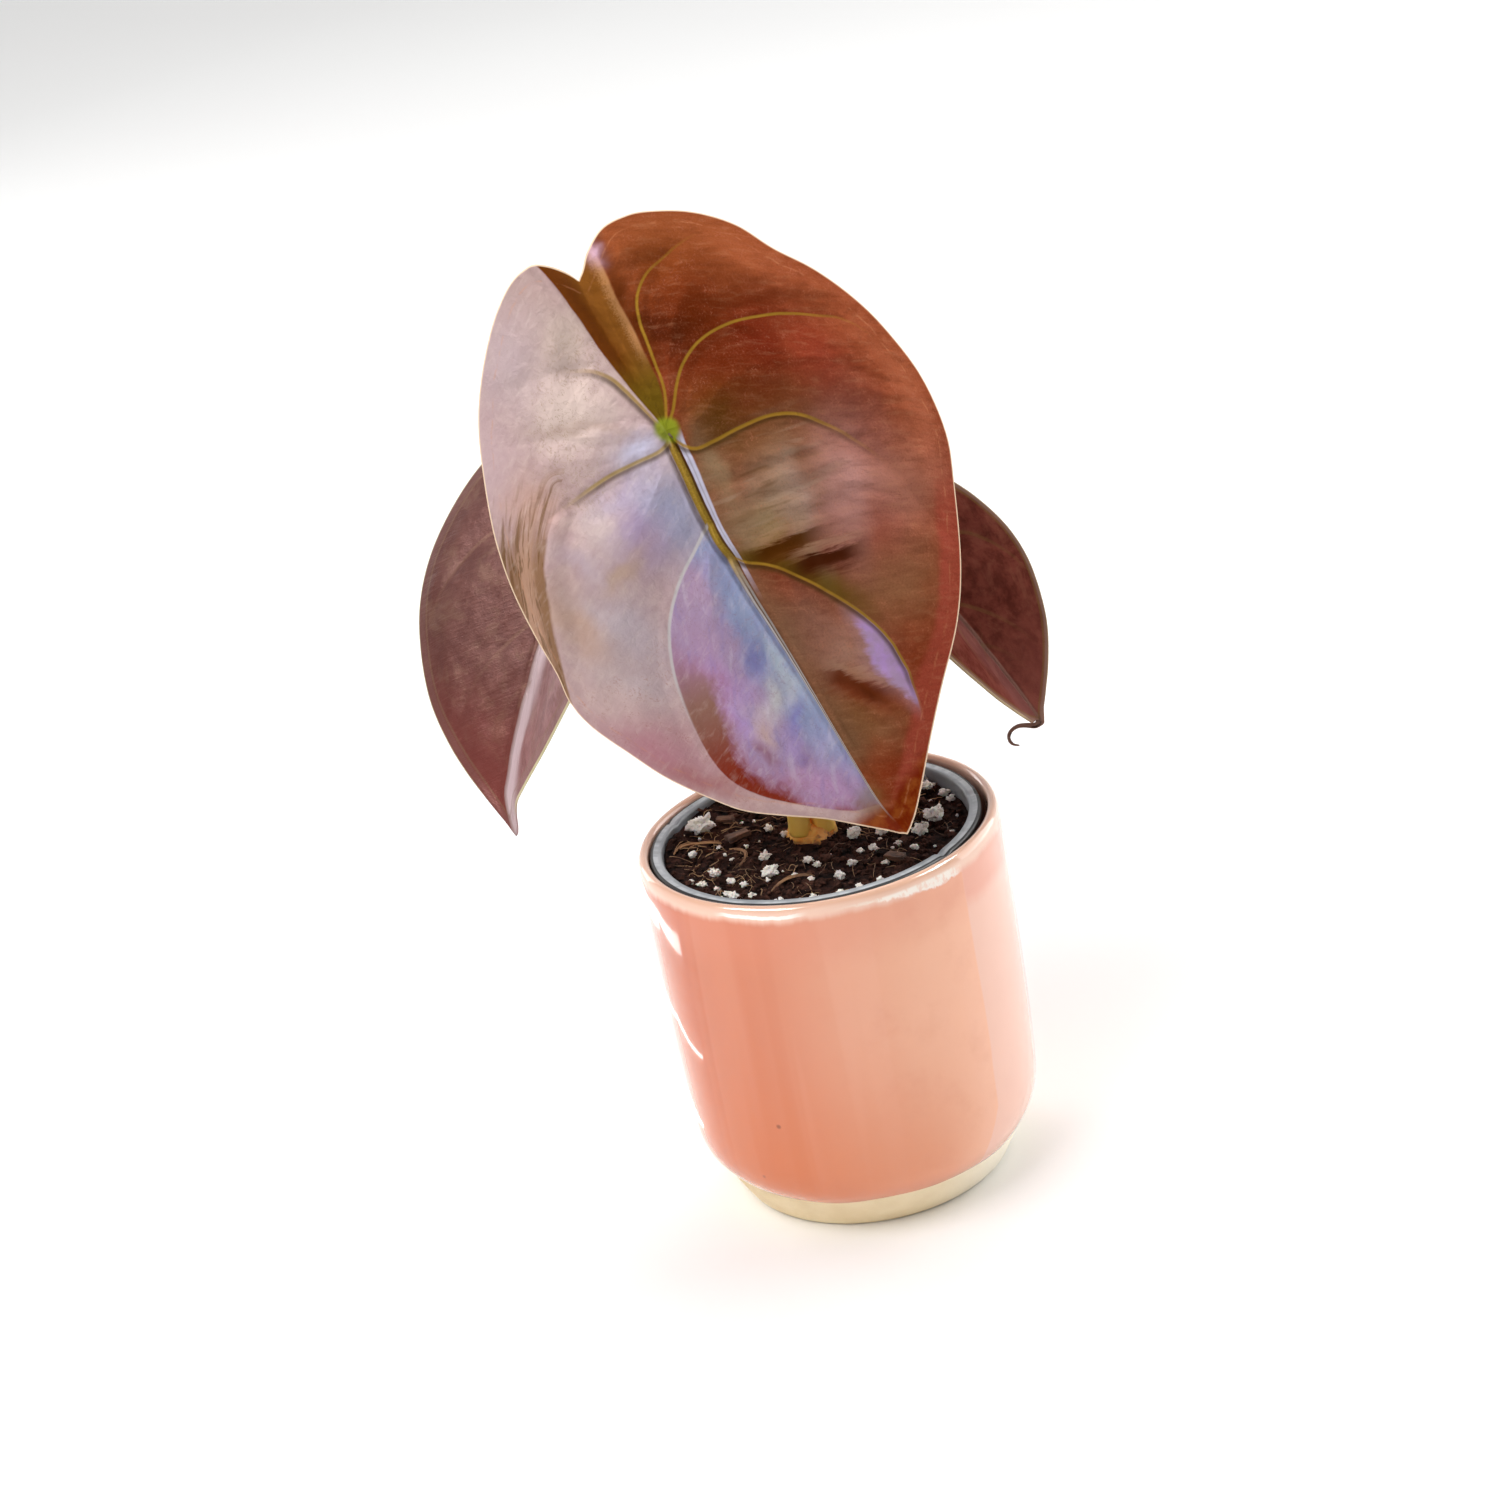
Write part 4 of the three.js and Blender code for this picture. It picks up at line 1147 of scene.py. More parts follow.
def leafRipples(name, leaf, s, t, marks):
    # soft unevenness everywhere, and the waves between the veins of the big leaf
    seed = s * 0 + leaf["seed"]
    uneven = 0.30 * fuzz(s, t, seed, 0.07, 2) + 0.07 * fuzz(s, t, seed + 9, 0.33, 3)
    if name != "bladeFront":
        return uneven * fadeIn(0, 4, marks["rim"])

    def wave(s0, t0, spread, angle, length, height):
        u, w = turned(s - s0, t - t0, angle)
        return height * np.cos(u / length * math.tau) * np.exp(-(u / spread[0]) ** 2 - (w / spread[1]) ** 2)

    waves = sum(wave(*row) for row in rippleRows)
    for key, deep, wide in (("foldUpper", 0.75, 1.6), ("foldMiddle", 0.9, 2.0), ("foldLower", 0.7, 1.8)):
        far = marks[key] / wide
        along = marks[key + "Along"]
        held = fadeIn(0, 0.25, along) * fadeIn(1, 0.6, along)
        waves -= (deep * np.exp(-far * far) - 0.6 * deep * np.exp(-((far + 1.7) / 1.2) ** 2)) * held
    for way in (1, -1):
        u, w = turned(s, t, 60 * way)
        waves += (0.23 + 0.11 * way) * fuzz(u * 0.09, w * 0.3, s * 0 + way * 3, 1.0, 2) * fadeIn(-1, 1, t * way)
    outside = -marks["crease"]
    ridge = 1.5 * fadeIn(-4.5, 0, outside) * fadeIn(8.5, 0, outside) * fadeIn(0, 3, marks["rim"])
    ridge *= fadeIn(-2, 6, s) * fadeIn(40, 30, s)
    return (uneven + waves) * fadeIn(0, 5, marks["rim"]) * fadeIn(0, 2.5, np.abs(marks["seam"])) + ridge


# leaves: finishes

def bladeCoordinates(shade):
    plan = shade.node("UVMap", {"uv_map": "leafPlan"}, {})
    s, t, _ = shade.apart(plan)
    return s * 100, t * 100


def turned(s, t, angle):
    a = math.radians(angle)
    return s * math.cos(a) + t * math.sin(a), t * math.cos(a) - s * math.sin(a)


def streakNoise(shade, s, t, angle, longways, crossways, detail=3.0):
    # streaks that run with the side veins of one half
    u, w = turned(s, t, angle)
    return shade.noise(shade.join(u * longways, w * crossways), 1.0, detail, 0.6, 0.3)


def frontFinish():
    shade = Shade("frontBladeUpper")
    s, t = bladeCoordinates(shade)
    seam, ridge, rim = (shade.attribute(k) for k in ("seam", "ridge", "rim"))
    flat = shade.join(s, t)
    wander = shade.noise(flat, 0.12, 3, 0.6) - 0.5
    ws, wt = s + wander * 7, t + (shade.noise(shade.join(s, t, 31.0), 0.12, 3, 0.6) - 0.5) * 7
    streakR = streakNoise(shade, s, t, 62, 0.2, 0.8)
    streakL = streakNoise(shade, s, t, -62, 0.25, 0.8)
    speckle = shade.noise(flat, 2.6, 4, 0.7)
    mottle = shade.noise(flat, 0.35, 4, 0.6)
    fibres = streakNoise(shade, s, t, 76, 0.16, 1.1, 4.0)
    wrinkle = shade.noise(shade.join(s * 0.34, t * 0.5), 1.0, 3, 0.6, 1.2)
    wrinkles = rise(0.026, 0.006, abs(wrinkle - 0.5)) * rise(0.42, 0.55, speckle)
    radius = shade.length(flat)

    def blob(s0, t0, rs, rt, angle=0.0, power=1.0):
        u, w = turned(ws - s0, wt - t0, angle)
        u, w = u / rs, w / rt
        return wander.maths("EXPONENT", -(u * u + w * w)) * power

    def paint(colour, spots):
        # spots: place and radii in mm, turn, strength and colour
        for *where, tone in spots:
            colour.coat(blob(*where), *tone)

    # right half: copper that goes from red through orange to olive, with spots of painted light and shade where the
    # quilted fields face to or from the light
    right = shade.mix(rise(0.35, 0.68, mottle), tint(116, 44, 16), tint(132, 60, 34))
    paint(right, [
        (-33, 20, 15, 20, 0, 0.85, (122, 60, 16)), (-17, 9, 12, 5, 50, 0.97, (70, 22, 0)),
        (-15, 18, 11, 7, 0, 0.8, (100, 34, 0)), (-23, 27, 7, 7, 0, 0.5, (158, 82, 46)),
        (-4, 23, 5, 9, 70, 0.92, (100, 24, 0)), (3, 31, 3.5, 8, 80, 0.75, (110, 30, 6)),
        (2, 31, 6, 9, 60, 0.5, (146, 56, 34)), (-5, 14, 5, 4, 60, 0.6, (98, 26, 0)), (4, 9, 8, 6, 0, 0.9, (86, 52, 2)),
        (12, 18, 9, 10, 0, 0.75, (108, 72, 34)), (20, 13, 8, 9, 0, 0.8, (152, 126, 104)),
        (22.5, 6, 4, 5, 0, 0.7, (146, 128, 96)), (24, 14, 3, 8, 76, 0.6, (160, 136, 126)),
        (16, 20, 3, 9, 70, 0.6, (110, 62, 32)), (28, 24, 7, 14, 68, 0.9, (174, 130, 124)),
        (31, 34, 8, 9, 0, 0.7, (160, 110, 94)), (22, 43, 16, 6, -20, 0.6, (160, 88, 60)),
        (26, 6, 2.5, 5, 0, 0.7, (140, 112, 62)), (45, 22, 9, 9, 0, 0.75, (134, 94, 62)),
        (42, 4, 7, 6, 0, 0.8, (114, 78, 62)), (52, 7, 7, 5, 30, 0.85, (158, 118, 102)),
        (64, 3, 9, 6, 0, 0.85, (110, 72, 40)), (68, 6, 4, 4, 0, 0.5, (132, 96, 66)),
        (76, 4, 7, 5, 0, 0.8, (120, 42, 14)), (10, 3.5, 8, 2.6, -8, 0.8, (134, 112, 84)),
        (21, 3, 5, 3, 0, 0.7, (134, 108, 82)), (36, 24, 5, 7, 70, 0.7, (136, 62, 42)),
        (31.5, 12, 1.3, 9, 84, 0.7, (150, 122, 96)),
    ])
    right.coat(rise(7, 1, seam + wander * 3) * window(s, 4, 10, 74, 66) * 0.6, 112, 86, 62)
    right.coat(rise(6.5, 4.5, rim + wander * 2) * rise(30, 42, s) * 0.85, 146, 62, 46)
    right.coat(rise(14, 4, rim) * rise(30, 10, s) * 0.42, 156, 84, 50)
    right.coat(rise(0.5, 0.75, streakR) * 0.16, 184, 130, 96)
    right.coat(rise(0.5, 0.28, streakR) * 0.22, 84, 38, 14)
    right.coat(wrinkles * rise(0.45, 0.65, mottle) * 0.3, 176, 108, 84)
    right.coat(rise(0.48, 0.75, speckle) * 0.16, 180, 112, 80)
    right.coat(rise(0.52, 0.25, speckle) * 0.28, 70, 26, 4)
    # painted highlight and painted shade: pale and dark streaks across the ripples between the side veins
    swell = shade.noise(shade.join((s - t * 0.2) * 0.42, t * 0.07), 1.0, 2, 0.5, 0.3)
    rippled = blob(17, 11, 9, 11)
    right.coat(rise(0.54, 0.68, swell) * rippled * 0.6, 92, 60, 30)
    right.coat(rise(0.46, 0.32, swell) * rippled * 0.45, 172, 146, 124)
    # painted shade on the shaded side of vein D; along the sharp folds under the ripples, a painted highlight on one
    # side and painted shade on the side turned away
    above = shade.attribute("D")
    under = rise(5.5, 0.6, above + wander * 3) * rise(0.0, 0.3, above)
    right.coat(under * window(s, 22, 28, 54, 40) * 0.85, 92, 70, 12)
    folds = [
        ("foldUpper", 4.4, 0.97, (76, 38, 0)), ("foldMiddle", 4.6, 0.97, (64, 22, 0)), ("foldLower", 4.2, 0.9,
            (96, 38, 8)),
    ]
    for name, wide, power, tone in folds:
        held = window(shade.attribute(name + "Along"), 0.0, 0.3, 1.0, 0.6)
        below = shade.attribute(name) + wander * 2.5 + (fibres - 0.5) * 4.5
        right.coat(window(below, 1.3, 2.3, 3.6, 2.6) * held * 0.32, 178, 138, 110)
        right.coat(window(below, 1.7, 0.7, -wide, -0.8) * held * power, *tone)
    # painted sheen: the lens of violet below the lowest side vein, with a greyish lilac haze round it
    lensEdge = shade.attribute("lens") + wander * 3
    lens = rise(0.05, 0.35, -above) * rise(-1.0, 1.0, lensEdge + (streakR - 0.5) * 3) * rise(45, 50, s)
    violet = shade.mix(rise(0.4, 0.65, mottle), tint(160, 134, 166), tint(168, 136, 188))
    right.coat(rise(-3.5, 1.0, lensEdge) * rise(-0.5, 0.5, -above) * rise(38, 46, s) * 0.4, 160, 132, 140)
    right.coat(lens * 0.92, violet)

    # left half: painted sheen of lilac grey over pink, bluer beside the midrib, where this half faces the light on the
    # left
    left = shade.mix(rise(0.35, 0.68, mottle), tint(168, 140, 140), tint(182, 156, 152))
    paint(left, [
        (-34, -10, 10, 8, 0, 0.85, (152, 128, 122)), (-24, -19, 9, 8, 0, 0.6, (160, 142, 144)),
        (-12, -13, 8, 9, 0, 0.85, (210, 190, 180)), (-24, -8, 6, 5, 0, 0.75, (172, 154, 142)),
        (-14, -34, 16, 7, 0, 0.75, (186, 160, 162)), (-29, -19, 6, 9, 40, 0.6, (178, 158, 160)),
        (-2, -29, 5, 6, 0, 0.6, (188, 148, 130)), (0.5, -6, 2.6, 4.5, -20, 0.85, (204, 200, 222)),
        (14, -7, 12, 7, 12, 0.85, (142, 146, 172)), (14, -15, 6, 5, 0, 0.75, (146, 126, 168)),
        (17.5, -18, 2.2, 6, 30, 0.45, (158, 126, 90)), (9, -20, 6, 4, 0, 0.7, (190, 172, 166)),
        (30, -27, 12, 8, 0, 0.7, (162, 150, 158)), (24, -28, 2.6, 7, -60, 0.5, (178, 168, 178)),
        (13, -26, 2.2, 6, -60, 0.5, (176, 160, 172)), (36, -31, 2.4, 7, -55, 0.55, (172, 162, 170)),
        (19, -21, 1.6, 4, 10, 0.35, (166, 138, 104)), (6, -15, 2, 5, 0, 0.5, (160, 150, 176)),
        (22, -33, 12, 4, 10, 0.6, (176, 142, 118)), (50, -34, 13, 6, 40, 0.9, (158, 104, 116)),
        (60, -29, 9, 2.2, 42, 0.6, (140, 74, 74)), (38, -36, 9, 6, 30, 0.6, (184, 160, 156)),
        (-6, -9, 5, 1.2, 50, 0.4, (150, 124, 110)), (-10, -16, 6, 1.2, 62, 0.4, (156, 128, 112)),
        (22.4, -5.8, 0.5, 0.5, 0, 0.9, (60, 40, 44)),
    ])
    # the tan band outside the crease, sharp on its inner side
    crease = -shade.attribute("crease")
    strands = shade.noise(shade.join(crease * 0.8, s * 0.1), 1.0, 3, 0.65, 0.7)
    band = rise(-0.4, 0.5, crease + wander * 1.6) * rise(-5, 9, s + (strands - 0.5) * 22) * rise(52, 40, s)
    left.coat(band * 0.94, 128, 92, 62)
    left.coat(band * rise(1.6, 4.2, crease + (strands - 0.5) * 4) * rise(8.5, 6, crease) * 0.55, 192, 152, 130)
    left.coat(band * rise(0.52, 0.6, strands) * 0.7, 98, 68, 40)

    creased = wrinkles * rise(14, 4, abs(radius - 20) + mottle * 6) * rise(8, 2, s)
    left.coat(creased * 0.45, 146, 122, 92)
    left.coat(wrinkles * rise(24, 40, s) * rise(0.45, 0.6, mottle) * 0.5, 142, 92, 88)

    # inside the long curved vein: brown red against it, then painted sheen of violet, grey and blue up to the midrib
    inner = shade.attribute("G")
    region = rise(-0.1, 0.25, inner) * rise(18, 21, s)
    inside = shade.mix(rise(-4.0, -8, seam + wander * 6), tint(130, 138, 170), tint(150, 128, 156))
    paint(inside, [
        (27, -10, 3.5, 5, 40, 0.8, (150, 124, 146)), (33.4, -3.5, 5, 1.8, 0, 0.7, (134, 144, 176)),
        (36, -15, 6, 4, 20, 0.85, (150, 122, 146)), (44, -7.4, 5, 2.0, -30, 0.9, (112, 112, 158)),
        (47, -3.4, 8, 1.4, 5, 0.85, (158, 168, 180)), (45, -14, 7, 2.5, 15, 0.8, (160, 122, 164)),
        (53, -12.6, 3.6, 2.4, -20, 0.7, (176, 156, 172)), (52, -8.2, 4.0, 2.2, -35, 0.95, (176, 172, 174)),
        (52.5, -4.6, 4.5, 1.2, -20, 0.8, (172, 174, 184)), (57.5, -6.6, 3.5, 1.1, -35, 0.8, (112, 112, 172)),
        (51.8, -16.2, 7, 1.8, 10, 0.85, (160, 132, 180)), (57, -12.6, 3.0, 2.0, -20, 0.85, (174, 146, 140)),
        (60.5, -9.4, 4, 1.6, -25, 0.8, (158, 136, 178)), (64, -9.6, 2.4, 1.6, -20, 0.85, (116, 96, 140)),
        (65, -5.6, 5, 1.4, 0, 0.75, (158, 156, 190)), (60, -15, 3, 1.2, 20, 0.7, (120, 70, 84)),
        (72, -7, 7, 5, 0, 0.8, (172, 126, 164)), (67, -13, 4, 2, 30, 0.6, (166, 118, 150)),
    ])
    ribbon = streakNoise(shade, s, t, -24, 0.11, 0.42, 3.0)
    inside.coat(rise(0.52, 0.72, ribbon) * 0.3, 190, 182, 194)
    inside.coat(rise(0.48, 0.28, ribbon) * 0.35, 118, 108, 160)
    inside.coat(wrinkles * 0.3, 136, 100, 112)
    brown = shade.mix(rise(46, 62, s), tint(128, 90, 78), tint(116, 34, 10))
    edge = shade.attribute("redEdge") + (streakL - 0.5) * 2.4 + wander * 4 + (wrinkle - 0.5) * 3
    inside.coat(rise(3.2, -0.5, edge) * rise(28, 40, s) * 0.5, 148, 92, 112)
    inside.coat(rise(1.0, -2.4, edge) * rise(34, 48, s), brown)
    left.coat(region, inside)
    left.coat(rise(0.5, 0.76, streakL) * 0.14, 214, 196, 186)
    left.coat(rise(0.48, 0.26, streakL) * 0.14, 140, 108, 104)

    # sinus valley: olive brown floor between the two shoulders, with painted shade against the left shoulder and
    # painted light, paler tan, up towards the ridge
    isRight = rise(-0.12, 0.12, seam + wander * 0.7)
    colour = shade.mix(isRight, left, right)
    valley = rise(-0.3, 0.2, seam) * rise(0.25, -0.35, ridge) * rise(0.5, -3.0, s)
    floor = shade.mix(rise(1.0, 4.4, seam + wander * 2), tint(94, 46, 0), tint(116, 70, 20))
    floor.coat(rise(-2.2, -0.4, ridge + (speckle - 0.5) * 4) * rise(-10, -18, s) * 0.6, 180, 132, 88)
    floor.coat(rise(-18, -5, s) * 0.8, 96, 80, 12)
    colour.coat(valley * 0.95, floor)
    colour.coat(window(ridge, -0.2, 0.3, 3.6, 0.5) * rise(-8, -14, s) * 0.75, 86, 36, 0)
    colour.coat(blob(-36, 5.6, 2.6, 1.5, 0, 0.9), 196, 160, 176)
    # tip and midrib
    amber = shade.mix(rise(0.35, 0.65, mottle), tint(108, 30, 0), tint(134, 64, 20))
    colour.coat(rise(76.5, 80.5, s + wander * 3 + seam * 0.2) * rise(1.0, -0.8, rim - 5), amber)
    colour.coat(blob(77, -3.5, 3.0, 3.0, 0, 0.6), 116, 88, 50)
    ahead = rise(0.5, 3.5, s)
    floorWide = 0.9 - 0.74 * rise(0, 70, s)
    reach = (seam + wander * 0.3) / floorWide
    later = rise(24, 34, s)
    ribTint = shade.mix(rise(0.35, 0.65, speckle) * 0.5, tint(160, 128, 48), tint(116, 88, 26))
    ribTint.coat(later, 166, 158, 154)
    shown = ahead * rise(84, 74, s)
    colour.coat(rise(1.15, 0.85, abs(reach)) * shown, ribTint)
    colour.coat(rise(0.36, 0.16, abs(reach - 0.1)) * shown * later, 98, 76, 62)
    # painted highlight: a pale lilac strip up the right wall of the midrib, with a thin darker line in it; painted
    # shade at the foot of that wall and along the left edge of the floor
    colour.coat(window(reach, 1.3, 1.55, 3.2, 2.8) * ahead * rise(36, 22, s) * 0.92, 186, 184, 204)
    colour.coat(window(reach, 2.0, 2.15, 2.45, 2.3) * ahead * rise(30, 20, s) * 0.4, 120, 110, 112)
    colour.coat(window(reach, 0.7, 0.95, 1.55, 1.3) * ahead * rise(30, 20, s) * 0.8, 72, 46, 16)
    colour.coat(window(reach, -1.5, -1.2, -0.8, -1.0) * shown * 0.45, 98, 76, 44)
    golden = (148, 112, 34)
    onRight, onLeft = rise(0.2, 0.9, seam), rise(-0.1, -0.7, seam)
    veins = [        # half width, where they start and end to fade, colour, and which side lies in shade
        ("A", 0.2, 24, 40, golden, 0), ("B", 0.22, 30, 46, golden, 0), ("C", 0.28, 22, 44, golden, -1),
        ("D", 0.2, 60, 72, golden, -1), ("E", 0.34, 12, 24, (146, 116, 58), 1),
        ("F", 0.34, 16, 27, (146, 122, 72), 1), ("G", 0.26, 40, 60, (178, 172, 172), 0),
    ]
    for name, wide, near, far, tone, darkSide in veins:
        apart = shade.attribute(name)
        reached = rise(far, near, radius) * (onRight if name < "E" else onLeft)
        if darkSide:
            off = apart * darkSide
            colour.coat(window(off, 0.15, 0.42, 1.6, 0.6) * reached * 0.75, 66, 42, 8)
        colour.coat(rise(wide + 0.22, wide * 0.4, abs(apart)) * reached * 0.9, *tone)
    colour.coat(rise(3.0, 1.6, radius + wander * 2) * 0.95, 134, 142, 36)
    # rim: a line of vein a little inside, and the pale edge itself
    collect = rise(0.3, 0.05, abs(rim - 3.0 - wander * 2)) * rise(0.42, 0.6, mottle)
    colour.coat(collect * 0.25, 190, 126, 88)
    colour.coat(rise(0.5, 0.25, rim) * 0.88, 234, 208, 178)

    isLeft = 1 - isRight
    crinkle = streakNoise(shade, s, t, 62, 0.3, 0.55, 2.0) * isRight
    pucker = shade.noise(flat, 0.5, 2, 0.55, 0.8)
    height = (streakR + streakL) * 0.12 + speckle * 0.35 + crinkle * 0.8 + pucker * 1.4 - wrinkles * 0.35
    return shade.finish(
        Base_Color=colour,
        Metallic=0.16,
        Roughness=0.54 + speckle * 0.14,
        Specular_IOR_Level=0.0,
        Coat_Weight=0.04 + 0.12 * isLeft, Coat_Roughness=0.65,
        Normal=shade.bump(height, 0.4, 0.0004))


def sideFinish(name, tones, leaf):
    shade = Shade(name)
    s, t = bladeCoordinates(shade)
    flat = shade.join(s, t)
    seam, rim = shade.attribute("seam"), shade.attribute("rim")
    mottle = shade.noise(flat, 0.3, 4, 0.65)
    wander = shade.noise(flat, 0.12, 3, 0.6) - 0.5
    speckle = shade.noise(flat, 2.2, 4, 0.7)
    streakR = streakNoise(shade, s, t, 58, 0.18, 1.4)
    streakL = streakNoise(shade, s, t, -58, 0.18, 1.4)
    isRight = rise(-0.25, 0.25, seam)
    first = shade.mix(rise(0.35, 0.65, mottle), tones["leftDark"], tones["left"])
    other = shade.mix(rise(0.35, 0.65, mottle), tones["rightDark"], tones["right"])
    colour = shade.mix(isRight, first, other)
    streak = streakL * (1 - isRight) + streakR * isRight
    colour.coat(rise(0.52, 0.74, streak) * 0.22, tones["streak"])
    clouds = shade.noise(flat, 0.14, 4, 0.7, 0.6)
    colour.coat(rise(0.5, 0.66, clouds) * 0.45, tones["cloud"])
    colour.coat(rise(0.46, 0.34, clouds) * 0.4, tones["deep"])
    size = leaf["length"]
    colour.coat(rise(size * 0.45, size * 0.95, s + wander * 8) * 0.6, tones["low"])
    sheenLine = rise(9, 1, abs(seam + tones["sheenAt"])) * tones["sheenPower"]
    half = 0.3 * tones["sheenSide"]
    colour.coat(sheenLine * rise(-half, half, seam), tones["sheen"])
    colour.coat(rise(0.7, 0.35, abs(seam)) * 0.7, tones["rib"])
    radius = shade.length(flat)
    for name, *_ in leaf["veins"]:
        line = rise(0.58, 0.18, abs(shade.attribute(name))) * rise(size * 0.8, size * 0.3, radius)
        colour.coat(line * 0.36, tones["vein"])
    band = rise(tones["bandWide"] + 0.5, tones["bandWide"] - 0.3, rim + wander)
    colour.coat(band * tones["bandPower"], tones["band"])
    colour.coat(rise(0.4, 0.1, abs(rim - tones["bandWide"] - 0.4)) * 0.5, tones["vein"])
    colour.coat(rise(0.42, 0.2, rim) * rise(size * 0.95, size * 0.85, s) * 0.85, tones["edge"])
    height = streak * 0.6 + speckle * 0.4 + mottle * 0.8
    return shade.finish(
        Base_Color=colour,
        Metallic=tones["metal"],
        Roughness=0.38 + speckle * 0.14,
        Specular_IOR_Level=tones["gloss"],
        Normal=shade.bump(height, 0.4, 0.0004))


def underFinish():
    shade = Shade("bladeUnder")
    s, t = bladeCoordinates(shade)
    flat = shade.join(s, t)
    seam, rim = shade.attribute("seam"), shade.attribute("rim")
    mottle = shade.noise(flat, 0.3, 4, 0.65)
    speckle = shade.noise(flat, 2.6, 4, 0.7)
    streak = streakNoise(shade, s, t, 58, 0.2, 1.3)
    net = shade.cells(flat, 0.42, "DISTANCE_TO_EDGE", 0.9)
    colour = shade.mix(rise(0.32, 0.68, mottle), tint(92, 34, 46), tint(122, 52, 62))
    colour.coat(rise(0.5, 0.75, streak) * 0.35, 146, 78, 82)
    colour.coat(rise(0.07, 0.0, net) * 0.35, 70, 24, 34)
    colour.coat(rise(1.7, 0.7, abs(seam)) * rise(-2, 2, s) * 0.8, 148, 104, 86)
    colour.coat(rise(0.42, 0.2, rim) * 0.7, 190, 150, 126)
    return shade.finish(
        Base_Color=colour,
        Roughness=0.5 + speckle * 0.15,
        Coat_Weight=0.12, Coat_Roughness=0.4,
        Normal=shade.bump(speckle * 0.5 + rise(0.0, 0.1, net) * 0.6 + streak * 0.4, 0.4, 0.0004))


leftTones = {
    "cloud": tint(112, 80, 64), "deep": tint(78, 32, 24),
    "left": tint(94, 54, 47), "leftDark": tint(84, 44, 38), "right": tint(138, 98, 98), "rightDark": tint(118, 78, 78),
    "low": tint(124, 50, 44), "streak": tint(134, 90, 80), "sheen": tint(206, 184, 188), "sheenAt": -2.5,
    "sheenPower": 0.85, "gloss": 0.2,
    "sheenSide": 1, "rib": tint(160, 136, 134), "vein": tint(118, 86, 66), "metal": 0.2,
    "band": tint(118, 84, 78), "bandWide": 2.0, "bandPower": 0.35, "edge": tint(200, 190, 150),
}
rightTones = {
    "cloud": tint(122, 70, 56), "deep": tint(70, 26, 20),
    "left": tint(108, 54, 46), "leftDark": tint(90, 40, 32), "right": tint(108, 54, 44), "rightDark": tint(84, 38, 30),
    "low": tint(122, 66, 58), "streak": tint(104, 48, 36), "sheen": tint(120, 84, 82), "sheenAt": 2.5,
    "sheenPower": 0.3, "gloss": 0.0,
    "sheenSide": -1, "rib": tint(120, 88, 78), "vein": tint(110, 84, 48), "metal": 0.0,
    "band": tint(132, 106, 92), "bandWide": 1.0, "bandPower": 0.7, "edge": tint(174, 154, 122),
}


def makeBlade(key, tones):
    leaf = leaves[key]
    completeLeaf(leaf)
    name = "blade" + key.capitalize()
    mesh = bladeMesh(name, leaf)
    mesh.materials.append(frontFinish() if key == "front" else sideFinish(name + "Upper", tones, leaf))
    mesh.materials.append(bladeBack)
    piece = bpy.data.objects.new(name, mesh)
    scene.collection.objects.link(piece)
    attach(piece, "root")
    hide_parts("leaf_blade_" + key)


bladeBack = underFinish()
makeBlade("front", None)
makeBlade("left", leftTones)
makeBlade("right", rightTones)
print("three blades are grown")


# stalks and corm

stalks = {
    "baseRadius": 2.1, "foot": (72.2, 78), "around": 20, "along": 150,
    "front": {"radius": 1.7, "base": (-3.2, 0.1),
        "route": [(-4.8, 2.6, 98), (-8.4, 5, 126), (-12, 4, 148), (-13.5, -2, 157)]},
    "left": {"radius": 1.4, "base": (-1.5, 4.4), "route": [(-4, 8, 92), (-12, 18, 112), (-22, 28, 124.5)]},
    "right": {"radius": 1.2, "base": (1.5, 0.9), "route": [(3, 5, 89), (10, 14.5, 103), (18, 21.5, 111.8)]},
}
corm = {
    "spread": 0.82, "base": 65.2, "around": 64, "along": 45,
    "profile": [(0, 0), (2.6, 0), (4.9, 1.8), (6.1, 3.6), (6.3, 4.9), (6.1, 6.2), (5.5, 7.4), (4.4, 8.5), (2.6, 9.2),
        (0, 9.4)],
}


def stalkFinish():
    shade = Shade("stalkSkin")
    spot = shade.place()
    x, y, z = shade.apart(spot)
    streaks = shade.noise(shade.join(x * 900, y * 900, z * 60), 1.0, 3, 0.6)
    bands = shade.noise(shade.join(x * 160, y * 160, z * 260), 1.0, 4, 0.6, 0.6)
    fine = shade.noise(spot, 2400, 3, 0.6)
    colour = shade.mix(rise(0.09, 0.14, z + (bands - 0.5) * 0.02), tint(128, 124, 58), tint(112, 92, 56))
    colour.coat(rise(0.48, 0.66, bands) * 0.7, 96, 46, 44)
    colour.coat(rise(0.5, 0.72, streaks) * 0.4, 166, 152, 96)
    foot = rise(0.088, 0.074, z + (bands - 0.5) * 0.006)
    colour.coat(foot * 0.95, 250, 200, 86)
    return shade.finish(
        Base_Color=colour,
        Roughness=0.42 + fine * 0.15,
        Subsurface_Weight=0.1, Subsurface_Scale=0.001,
        Coat_Weight=0.2, Coat_Roughness=0.3,
        Normal=shade.bump(streaks + fine * 0.4, 0.35, 0.0003))


def cormFinish():
    shade = Shade("cormSkin")
    spot = shade.place()
    x, y, z = shade.apart(spot)
    scales = shade.noise(shade.join(x * 140, y * 140, z * 1400), 1.0, 3, 0.6, 0.5)
    streaks = shade.noise(shade.join(x * 700, y * 700, z * 120), 1.0, 3, 0.6)
    fine = shade.noise(spot, 2200, 3, 0.6)
    colour = shade.mix(rise(0.3, 0.7, streaks), tint(238, 142, 34), tint(250, 186, 82))
    colour.coat(rise(0.56, 0.74, scales) * 0.75, 112, 60, 20)
    colour.coat(rise(0.52, 0.62, shade.noise(spot, 260, 3, 0.6)) * 0.8, 96, 56, 24)
    colour.coat(rise(0.0722, 0.0708, z) * 0.75, 80, 48, 22)
    return shade.finish(
        Base_Color=colour,
        Roughness=0.6 + fine * 0.2,
        Subsurface_Weight=0.1, Subsurface_Scale=0.001,
        Normal=shade.bump(scales + streaks * 0.6, 0.5, 0.0004))


